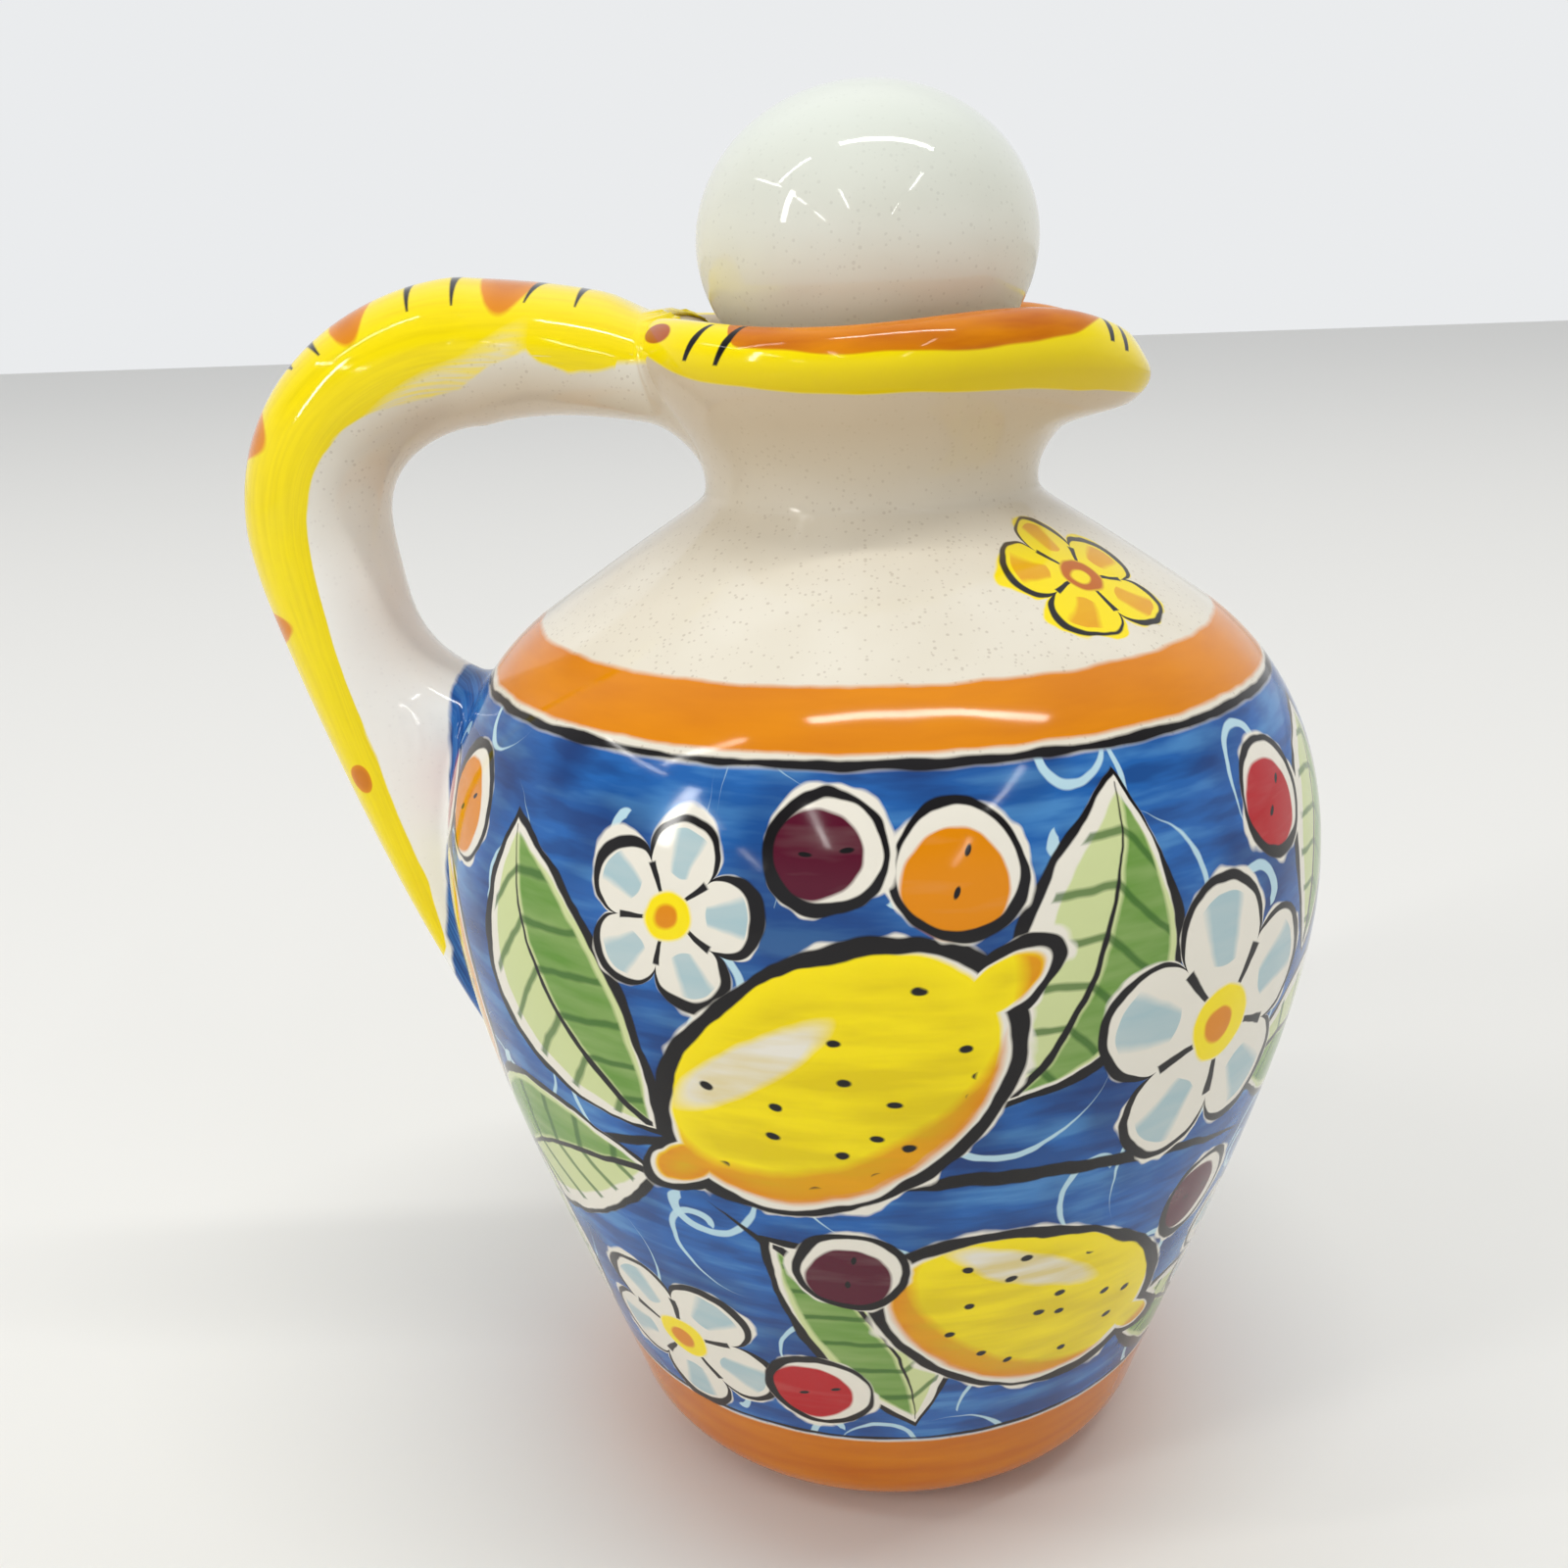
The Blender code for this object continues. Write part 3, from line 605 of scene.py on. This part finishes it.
def strap_sections():
    """Middle (x, z), thickness, width, finger-side filling and outer slimming, from rim to root."""
    left, down = np.array((-1.0, 0.0)), np.array((0.0, -1.0))
    root = (ROOT_DEPTH - pot_radius(ROOT_HEIGHT), ROOT_HEIGHT)
    off_rim = heading(math.pi - OFF_RIM_ANGLE) * 18.4 * MM
    into_root = heading(INTO_ROOT_ANGLE - math.pi / 2) * 18.2 * MM
    over = bend(handle_rim, off_rim, handle_crest, left * 4.0 * MM, OVER_ROWS)
    out = bend(handle_crest, left * 6.7 * MM, handle_reach, down * 13.9 * MM, OUT_ROWS)
    back = bend(handle_reach, down * 6.9 * MM, root, into_root, BACK_ROWS)
    share = np.linspace(0.0, 1.0, OVER_ROWS + 1)[1:]
    thick = HANDLE_RIM_THICKNESS + (HANDLE_THICKNESS - HANDLE_RIM_THICKNESS) * share
    wide = HANDLE_END_WIDTH + (HANDLE_WIDTH - HANDLE_END_WIDTH) * share
    fill = RIM_FILLING * np.clip(1.0 - share / 0.15, 0.0, 1.0) ** 2
    share = np.linspace(0.0, 1.0, BACK_ROWS + 1)[1:]
    back_thick = HANDLE_THICKNESS + (HANDLE_ROOT_THICKNESS - HANDLE_THICKNESS) * share**1.5
    back_wide = HANDLE_WIDTH + (HANDLE_END_WIDTH - HANDLE_WIDTH) * share
    back_fill = ROOT_FILLING * np.clip((share - 0.21) / 0.22, 0.0, 1.0) ** 3
    back_slim = BACK_SLIMMING * np.clip((share - 0.15) / 0.6, 0.0, 1.0)
    same = np.ones(OUT_ROWS)
    return (
        np.vstack((over, out, back)),
        np.concatenate((thick, same * HANDLE_THICKNESS, back_thick)),
        np.concatenate((wide, same * HANDLE_WIDTH, back_wide)),
        np.concatenate((fill, same * 0.0, back_fill)),
        np.concatenate((0.0 * fill, same * 0.0, back_slim)),
    )


def strap_surface():
    """The strap's surface as rings of points, and the middle of each ring."""
    rows = np.column_stack(strap_sections())
    run = length_along(rows[:, :2])
    even = np.linspace(0.0, run[-1], len(rows))
    rows = np.column_stack([np.interp(even, run, column) for column in rows.T])
    middle, (thick, wide, fill, slim) = rows[:, :2], rows[:, 2:].T
    along = unit(np.gradient(middle, axis=0))
    for _ in range(SMOOTHING):
        along[1:-1] = (along[:-2] + 2 * along[1:-1] + along[2:]) / 4
    along = unit(along)
    finger_side = np.column_stack((-along[:, 1], along[:, 0]))
    deep = np.cos(round_strap)
    reach = deep * thick[:, None] / 2 + np.maximum(deep, 0.0) * fill[:, None]
    reach += np.maximum(-deep, 0.0) * slim[:, None]
    x = middle[:, :1] + finger_side[:, :1] * reach
    y = np.sin(round_strap) * wide[:, None] / 2
    z = middle[:, 1:] + finger_side[:, 1:] * reach
    return np.stack((x, y, z), axis=-1), np.column_stack((middle[:, 0], 0 * wide, middle[:, 1]))


clay_edge = np.vstack((outside[FOOT_RINGS - 1:], over_rim))
clay_normals = outward(clay_edge)


def above_clay(points):
    """How far points lie outside the pot's clay, negative inside it, and the way straight out."""
    flat = points.reshape(-1, 3)
    radius = np.hypot(flat[:, 0], flat[:, 1])
    place = np.column_stack((radius, flat[:, 2]))
    start, run = clay_edge[:-1], np.diff(clay_edge, axis=0)
    gap = place[:, None, :] - start
    share = np.clip((gap * run).sum(-1) / (run * run).sum(-1), 0.0, 1.0)
    gap = gap - share[..., None] * run
    nearest = np.argmin((gap * gap).sum(-1), axis=1)
    rows = np.arange(len(flat))
    gap, share = gap[rows, nearest], share[rows, nearest][:, None]
    normal = clay_normals[nearest] * (1 - share) + clay_normals[nearest + 1] * share
    height = np.copysign(np.linalg.norm(gap, axis=1), (gap * normal).sum(-1))
    out = np.column_stack((flat[:, :2] * (normal[:, 0] / radius)[:, None], normal[:, 1]))
    return height.reshape(points.shape[:-1]), unit(out).reshape(points.shape)


def lapped(surface):
    """The strap's top lapped over the rim in a thin layer that ends at the edge of the mouth."""
    height, way = above_clay(surface)
    radius = np.hypot(surface[..., 0], surface[..., 1])
    upper = np.arange(len(surface))[:, None] < len(surface) // 2
    top = np.clip(-3.0 * np.cos(round_strap), 0.0, 1.0) * upper
    free = np.clip((radius - LAP_END) / (LAP_START - LAP_END), 0.0, 1.0)
    layer = LAP_THICKNESS * np.sqrt(np.clip(3.0 * free, 0.0, 1.0)) * -np.cos(round_strap)
    free = free**2 * (3.0 - 2.0 * free)
    wanted = np.maximum(height * free, layer * (1.0 - free)) - np.maximum(LAP_END - radius, 0.0)
    return surface + way * ((wanted - height) * top)[..., None]


def first_below(heights, level):
    """Where, counted in steps, a line of heights first falls below a level."""
    under = np.nonzero(heights <= level)[0]
    if not len(under):
        return len(heights) - 1.0
    step = under[0]
    if step == 0:
        return 0.0
    return step - (level - heights[step]) / (heights[step - 1] - heights[step])


def read_along(values, steps):
    """Values read between the strap's rings, at fractional steps, one column for each side."""
    low = np.clip(np.floor(steps).astype(int), 0, len(values) - 2)
    share = (steps - low)[..., None]
    side = np.arange(steps.shape[1])
    if values.ndim == 2:
        return values[low] * (1 - share) + values[low + 1] * share
    return values[low, side] * (1 - share) + values[low + 1, side] * share


def slip_filled(surface, middle):
    """The strap cut to the rows that show, with both ends run out onto the pot in a round fillet."""
    heights, _ = above_clay(surface)
    halfway = len(surface) // 2
    finger = FINGER_FILLET * np.maximum(np.cos(round_strap), 0.0) ** 2
    turned = np.linspace(0.0, math.pi / 2, FILLET_ROWS)[:, None]
    to_rim, to_root = heights[halfway::-1], heights[halfway:]
    steps, levels, spreads = [], [], []
    for fillet, line in ((RIM_FILLET + finger, to_rim), (ROOT_FILLET + finger, to_root)):
        sunk = np.array(((-SUNK_EDGE,), (-SUNK_END,))) + 0 * fillet
        level = np.vstack((fillet * (1.0 - np.sin(turned)), sunk))
        spread = np.vstack((fillet * (1.0 - np.cos(turned)), fillet, fillet))
        found = [[first_below(line[:, side], row[side]) for side in range(HANDLE_SIDES)] for row in level]
        steps.append(np.array(found))
        levels.append(level)
        spreads.append(spread)
    rim_steps, root_steps = halfway - steps[0][::-1], halfway + steps[1]
    share = np.linspace(0.0, 1.0, FREE_ROWS + 2)[1:-1, None]
    free_steps = rim_steps[-1] + (root_steps[0] - rim_steps[-1]) * share
    all_steps = np.vstack((rim_steps, free_steps, root_steps))
    strap = read_along(surface, all_steps)
    off_strap = unit(strap - read_along(middle, all_steps))
    rim_end = (slice(0, len(rim_steps)), levels[0][::-1], spreads[0][::-1])
    root_end = (slice(-len(root_steps), None), levels[1], spreads[1])
    for rows, level, spread in (rim_end, root_end):
        _, off_clay = above_clay(strap[rows])
        slide = off_strap[rows] - off_clay * (off_strap[rows] * off_clay).sum(-1)[..., None]
        moved = strap[rows] + slide * spread[..., None]
        now, off_clay = above_clay(moved)
        strap[rows] = moved + off_clay * (level - now)[..., None]
    return strap, all_steps


bare_strap, strap_middle = strap_surface()
strap, strap_steps = slip_filled(lapped(bare_strap), strap_middle)
station = length_along(strap_middle) / MM
from_rim = np.interp(strap_steps, np.arange(len(station)), station)
side_steps = np.linalg.norm(np.roll(strap, -1, axis=1) - strap, axis=-1) / MM
half_round = HANDLE_SIDES // 2
down_one_side = np.cumsum(side_steps[:, half_round:], axis=1)
from_ridge = np.zeros(from_rim.shape)
from_ridge[:, half_round + 1:] = down_one_side[:, :-1]
from_ridge[:, 0] = down_one_side[:, -1]
from_ridge[:, 1:half_round] = from_ridge[:, :half_round:-1]
handle = skin("handle_glazed", strap, tuple(strap[0].mean(0)), tuple(strap[-1].mean(0)))
note(handle, "from_rim", np.concatenate((from_rim.ravel(), (from_rim[0, 0], from_rim[-1, 0]))))
note(handle, "from_ridge", np.concatenate((from_ridge.ravel(), (0.0, 0.0))))

strap_glaze = Paint("glaze_handle")
spot = strap_glaze.node("TexCoord", out="Object")
tin_white(strap_glaze, spot)
along = strap_glaze.node("Attribute", {"attribute_name": "from_rim"}, out="Fac")
ridge = strap_glaze.node("Attribute", {"attribute_name": "from_ridge"}, out="Fac")
shake = strap_glaze.node("TexNoise", None, {"Vector": spot, "Scale": 150.0, "Detail": 2.0}) * 3.0 - 1.5
dry = strap_glaze.node("CombineXYZ", None, {0: along * 0.1, 1: ridge * 1.1})
dry = strap_glaze.node("TexNoise", {"noise_dimensions": "2D"}, {"Vector": dry, "Scale": 1.0, "Detail": 3.0})
place = strap_glaze.node("SeparateXYZ", None, {0: spot})
height = place.out("Z") * (1.0 / MM)

# Painted shade: the finger side next to the rim is tinted warm beige. Painted light: further down, the
# strap is whitened.
SHADE_END, PAINTED_LIGHT_FROM = 46.0, 56.0
shaded = (along - 20.0).most(0.0) * 0.4 + 19.0
strap_glaze.lay(PAINTED_SHADE, (shaded - ridge).edge(7.0) * (along - SHADE_END).edge(20.0) * 0.6)
strap_glaze.lay(tint(252, 252, 248), (PAINTED_LIGHT_FROM - along).edge(20.0) * 0.75)

# The yellow runs along the ridge. At each share of the strap's length its edge lies so many
# millimetres down the side, and by the rim it also keeps above a foot that drops away from there.
# The brush ran dry on a stretch of the side.
STRAP_LENGTH, WIDEST = 120.0, 30.0
YELLOW_FOOT, FOOT_DROPS_FROM = 136.4, 9.6
DRY_MIDDLE, DRY_HALF_LENGTH = 32.0, 11.0
YELLOW_EDGE = (
    (0.0, 30.0), (0.072, 30.0), (0.08, 15.4), (0.1, 16.6), (0.125, 17.6), (0.15, 16.8),
    (0.165, 14.2), (0.2, 17.0), (0.235, 22.6), (0.27, 25.4), (0.32, 24.6), (0.37, 22.6),
    (0.47, 23.2), (0.55, 24.2), (0.62, 23.2), (0.75, 21.2), (0.86, 22.0),
    (0.93, 16.0), (0.97, 0.0),
)
edge_stops = [(part, (width / WIDEST,) * 3 + (1.0,)) for part, width in YELLOW_EDGE]
limit = strap_glaze.node("ValToRGB", {"stops": edge_stops}, {0: along * (1.0 / STRAP_LENGTH)}) * WIDEST
foot = YELLOW_FOOT - height - (along - FOOT_DROPS_FROM).most(0.0) * 3.0
inside_edge = (ridge + shake - limit).most(foot)
thin = (0.72 - dry - inside_edge * 0.05).edge(0.12) * 0.8
dry_brush = (along * 0.62 - 1.0 - ridge).edge(3.0) * (abs(along - DRY_MIDDLE) - DRY_HALF_LENGTH).edge(3.0)
thin = thin.most(dry_brush * ((0.47 - dry).edge(0.26) * 0.5 + 0.28))
yellow_share = inside_edge.edge(0.7) * (1.0 - thin)
strap_glaze.lay(YELLOW, yellow_share)
strap_glaze.lay(OCHRE_YELLOW, yellow_share * (0.62 - dry).edge(0.5) * 0.35)

# Orange dabs across the yellow: how far along the strap and down its side each one's middle is, and
# how far the dab reaches along and down from there.
DABS = (
    (22.8, 0, 2.9, 9.8), (38.2, 0, 2.2, 9.2), (51.2, 0, 2.3, 9.0),
    (69.5, 2, 2.2, 8.6), (88.7, 13, 1.8, 2.6),
)
strip = strap_glaze.node("CombineXYZ", None, {0: along + shake * 0.3, 1: ridge + shake * 0.3})
for way, down, half, tall in DABS:
    shift = (-way / half, -down / tall, 0.0)
    dab = strap_glaze.vector("MULTIPLY_ADD", strip, (1 / half, 1 / tall, 0.0), shift)
    dab = strap_glaze.vector("LENGTH", dab, out="Value") - 1.0
    strap_glaze.lay(ORANGE, dab.edge(0.1))
    strap_glaze.lay(DARK_ORANGE, (dab + 0.25).edge(0.4) * 0.5)

# Black ticks between the dabs: how far along the strap, how much each one leans about its own
# middle, and how far down the side it reaches.
TICK_MIDDLE = 6.0
TICKS = (
    (15.2, 0.0, 8.0), (20.2, 0.12, 8.0), (28.0, -0.05, 8.2),
    (32.3, -0.05, 8.0), (41.8, -0.2, 7.6), (44.4, -0.2, 5.4),
)
for way, lean, tall in TICKS:
    tick = abs(along - ridge * lean - (way - TICK_MIDDLE * lean)) - (0.5 - ridge * (0.4 / tall))
    strap_glaze.lay(BLACK, tick.most(ridge - tall).edge(0.2))

# The blue ground of the belly runs up over the lower joint, to an upright edge behind the pot.
BLUE_EDGE, BLUE_TOP = 58.1, 106.0
root_blue = height * 0.08 - BLUE_EDGE - place * (1.0 / MM) + shake * 0.9
root_blue = root_blue.most(height - BLUE_TOP).edge(0.5)
strap_glaze.lay(BLUE, root_blue)
strap_glaze.lay(NAVY, root_blue * (dry - 0.42).edge(0.2) * 0.6)
strap_glaze.lay(LIGHT_BLUE, root_blue * (0.6 - dry).edge(0.14) * 0.4)
strap_glaze.set(Roughness=0.07, Specular_IOR_Level=0.34)
strap_glaze.feed(Base_Color=strap_glaze.picture, Normal=ripples(strap_glaze, spot))
handle.data.materials.append(strap_glaze.material)
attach(handle, "jug")
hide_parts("handle")

# The stopper is a hollow ball of the same earthenware, thrown closed. It is glazed all over, apart
# from the pot, and has a round hole underneath for its cork.
ball_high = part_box("stopper_ball")[1]
BALL_RADIUS, BALL_HALF_HEIGHT = ball_high.x, 16.7 * MM
BALL_MIDDLE = ball_high.z - BALL_HALF_HEIGHT
BALL_WALL, BALL_HOLE_RADIUS = 4.0 * MM, 9.0 * MM
BALL_SIDES, BALL_ROWS, HOLLOW_ROWS = 128, 60, 40
outer_end = math.acos(BALL_HOLE_RADIUS / BALL_RADIUS)
inner_end = math.acos(BALL_HOLE_RADIUS / (BALL_RADIUS - BALL_WALL))
turn = np.linspace(math.pi / 2, -outer_end, BALL_ROWS)[1:]
ball_outside = np.column_stack((BALL_RADIUS * np.cos(turn), BALL_HALF_HEIGHT * np.sin(turn)))
turn = np.linspace(-inner_end, math.pi / 2, HOLLOW_ROWS)[:-1]
hollow_radius, hollow_half_height = BALL_RADIUS - BALL_WALL, BALL_HALF_HEIGHT - BALL_WALL
ball_inside = np.column_stack((hollow_radius * np.cos(turn), hollow_half_height * np.sin(turn)))
ball_rings = turn_round(np.vstack((ball_outside, ball_inside))[::-1], BALL_SIDES)
ball = skin("stopper_ball_glazed", ball_rings, (0, 0, hollow_half_height), (0, 0, BALL_HALF_HEIGHT))
ball.location.z = BALL_MIDDLE
ball_glaze = Paint("glaze_ball")
spot = ball_glaze.node("TexCoord", out="Object")
tin_white(ball_glaze, spot)
rise = ball_glaze.node("SeparateXYZ", None, {0: spot}).out("Z") * (1.0 / BALL_HALF_HEIGHT)
# The ball is tinted a little greener towards the top. Painted reflection: its lower part is tinted warm
# cream, as if lit from the yellow rim below.
ball_glaze.lay(tint(218, 226, 218), (0.0 - rise).edge(1.4) * 0.8)
ball_glaze.lay(tint(228, 216, 186), (rise + 0.35).edge(0.8) * 0.5)
ball_glaze.set(Roughness=0.06)
ball_glaze.feed(Base_Color=ball_glaze.picture, Normal=ripples(ball_glaze, spot, 90.0))
ball.data.materials.append(ball_glaze.material)
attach(ball, "ball")
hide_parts("stopper_ball")

# The plug is a tapered piece of natural cork, turned to fit the neck. A thinner shank on top of it
# is glued into the hole of the ball.
cork_low, cork_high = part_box("stopper_cork")
CORK_SIDES = 96
GLUE_GAP, SHANK_LENGTH = 0.3 * MM, 9.0 * MM
SHANK_RADIUS, SHANK_FOOT = BALL_HOLE_RADIUS - GLUE_GAP, cork_high.z - SHANK_LENGTH
PLUG_TOP_RADIUS, CORK_TAPER = cork_high.x, 0.07
PLUG_FOOT_RADIUS = PLUG_TOP_RADIUS - (SHANK_FOOT - cork_low.z) * CORK_TAPER
ARRIS, ROUND_PULL = 1.0 * MM, 0.55


def arris(corner, way_in, way_out):
    """A small round where two faces of the cork meet."""
    corner, way_in, way_out = (np.array(part) for part in (corner, way_in, way_out))
    start, end = corner - way_in * ARRIS, corner + way_out * ARRIS
    return bend(start, way_in * ARRIS * ROUND_PULL, end, way_out * ARRIS * ROUND_PULL, 5)


plug_foot, plug_top = (PLUG_FOOT_RADIUS, cork_low.z), (PLUG_TOP_RADIUS, SHANK_FOOT)
shank_top = (SHANK_RADIUS, cork_high.z)
cork_outline = np.vstack((
    [(share * PLUG_FOOT_RADIUS, cork_low.z) for share in (0.3, 0.6, 0.85)],
    arris(plug_foot, (1.0, 0.0), (0.0, 1.0)),
    np.linspace(plug_foot, plug_top, 18)[2:-2],
    arris(plug_top, (0.0, 1.0), (-1.0, 0.0)),
    [(SHANK_RADIUS, SHANK_FOOT + rise * MM) for rise in (0.0, 3.0, 6.0)],
    arris(shank_top, (0.0, 1.0), (-1.0, 0.0)),
    [(share * SHANK_RADIUS, cork_high.z) for share in (0.6, 0.3)],
))
cork_rings = turn_round(cork_outline, CORK_SIDES)
cork = skin("stopper_cork_plug", cork_rings, (0, 0, cork_low.z), (0, 0, cork_high.z))
bark = Paint("cork_bark")
spot = bark.node("TexCoord", out="Object")
grain = bark.node("TexNoise", None, {"Vector": spot, "Scale": 260.0, "Detail": 4.0, "Roughness": 0.65})
stretched = bark.node("Mapping", None, {"Vector": spot, "Scale": (330.0, 330.0, 110.0)})
pore = bark.node("TexVoronoi", None, {"Vector": stretched, "Scale": 1.0})
chance = bark.node("SeparateColor", None, {0: pore.out("Color")})
pit = (pore - chance * 0.42 + 0.08).edge(0.1)
years = {"Vector": spot, "Rotation": (0.0, 0.5, 0.0), "Scale": (60.0, 60.0, 900.0)}
layers = bark.node("Mapping", None, years)
layers = bark.node("TexNoise", None, {"Vector": layers, "Scale": 1.0, "Detail": 2.0})
stops = [(0.3, tint(150, 104, 62)), (0.5, tint(196, 150, 98)), (0.7, tint(222, 184, 132))]
bark.picture = bark.node("ValToRGB", {"stops": stops}, {0: grain})
bark.lay(tint(172, 122, 76), (0.44 - layers).edge(0.1) * 0.5)
bark.lay(tint(74, 46, 28), pit * 0.85)
bark.set(Roughness=0.85)
relief = {"Strength": 0.6, "Distance": 0.0004, "Height": grain - pit * 0.6}
bark.feed(Base_Color=bark.picture, Normal=bark.node("Bump", None, relief))
cork.data.materials.append(bark.material)
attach(cork, "cork")
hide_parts("stopper_cork")

# The jug stands on a plain pale table, in a room with rows of ceiling tubes and a window at the left.
# The camera is close in front of it and looks a little down.
CAMERA_DISTANCE, CAMERA_HEIGHT = 183.495 * MM, 145.238 * MM
YAW, PITCH, ROLL = (math.radians(angle) for angle in (-3.5911, 18.3687, -2.1356))
FOCAL_PIXELS, FRAME_PIXELS, SENSOR = 1577.73, 1600, 36.0
level_reach = math.cos(PITCH)
forward = Vector((math.sin(YAW) * level_reach, math.cos(YAW) * level_reach, -math.sin(PITCH)))
right = Vector((math.cos(YAW), -math.sin(YAW), 0.0))
up = right.cross(forward)
rolled_right = right * math.cos(ROLL) + up * math.sin(ROLL)
rolled_up = up * math.cos(ROLL) - right * math.sin(ROLL)
lens = bpy.data.cameras.new("camera")
lens.sensor_width = SENSOR
lens.lens = SENSOR * FOCAL_PIXELS / FRAME_PIXELS
lens.clip_start = 0.01
camera = bpy.data.objects.new("camera", lens)
bpy.context.scene.collection.objects.link(camera)
camera.matrix_world = Matrix((
    (rolled_right.x, rolled_up.x, -forward.x, 0.0),
    (rolled_right.y, rolled_up.y, -forward.y, -CAMERA_DISTANCE),
    (rolled_right.z, rolled_up.z, -forward.z, CAMERA_HEIGHT),
    (0.0, 0.0, 0.0, 1.0),
))
bpy.context.scene.camera = camera
bpy.context.scene.view_settings.view_transform = "Standard"

TABLE_HALF = 3.0
table_top = bpy.data.meshes.new("table")
corners = [(x * TABLE_HALF, y * TABLE_HALF, 0.0) for x, y in ((-1, -1), (1, -1), (1, 1), (-1, 1))]
table_top.from_pydata(corners, [], [(0, 1, 2, 3)])
table = bpy.data.objects.new("table", table_top)
bpy.context.scene.collection.objects.link(table)
matte = Paint("table_matte")
matte.set(Base_Color=tint(229, 228, 225), Roughness=0.6)
table.data.materials.append(matte.material)

# The room's own light: pale walls all round, above them a side behind the jug that is brighter than
# the side behind the camera, and a lit ceiling.
room = Paint("room", bpy.data.worlds, "Background")
way = room.node("SeparateXYZ", None, {0: room.node("TexCoord", out="Generated")})
far_side = way.out("Y").maths("MULTIPLY_ADD", 0.87, 0.33).most(0.22).least(0.85)
walls = (way.out("Z") - 0.38).edge(0.3) * 0.78
ceiling = (0.78 - way.out("Z")).edge(0.4) * 0.5
room.set(Color=(0.97, 0.985, 1.0, 1.0))
room.feed(Strength=far_side.most(walls) + ceiling)
bpy.context.scene.world = room.material


def lamp(name, place, tilt, length, width, watts):
    """A long flat lamp that shines down, or aside where it is tilted about X, and is turned about Z."""
    light = bpy.data.lights.new(name, "AREA")
    light.shape = "RECTANGLE"
    light.size, light.size_y = length, width
    light.energy, light.color = watts, (1.0, 0.985, 0.95)
    stand = bpy.data.objects.new(name, light)
    bpy.context.scene.collection.objects.link(stand)
    stand.location = place
    stand.rotation_euler = (math.radians(tilt[0]), 0.0, math.radians(tilt[1]))


# Tubes under the ceiling: the place of each over the table, its turn in degrees and its length.
# The first hangs nearest and is the widest, and the power of the rest is for each square metre.
TUBE_HEIGHT, TUBE_WIDTH, TUBE_POWER = 2.0, 0.055, 72.0
TUBES = (
    ("left", -1.55, -0.65, 10, 1.2),
    ("far_left", -2.42, -0.35, 105, 1.25),
    ("row_left", -2.37, -2.2, 84, 1.1),
    ("row_left_end", -2.77, -4.6, 78, 1.9),
    ("row_middle", -0.87, -3.0, 86, 1.8),
    ("row_right", 1.38, -1.65, 96, 1.05),
    ("row_right_end", 1.7, -4.5, 97, 2.1),
)
lamp("ceiling_tube", (0.4, -0.3, TUBE_HEIGHT), (0, 5), 1.6, 0.1, 14.5)
for name, x, y, turn, length in TUBES:
    power = length * TUBE_WIDTH * TUBE_POWER
    lamp("ceiling_tube_" + name, (x, y, TUBE_HEIGHT), (0, turn), length, TUBE_WIDTH, power)
lamp("window_left", (-1.3, -0.9, 0.9), (62, -55), 0.1, 0.6, 4.8)
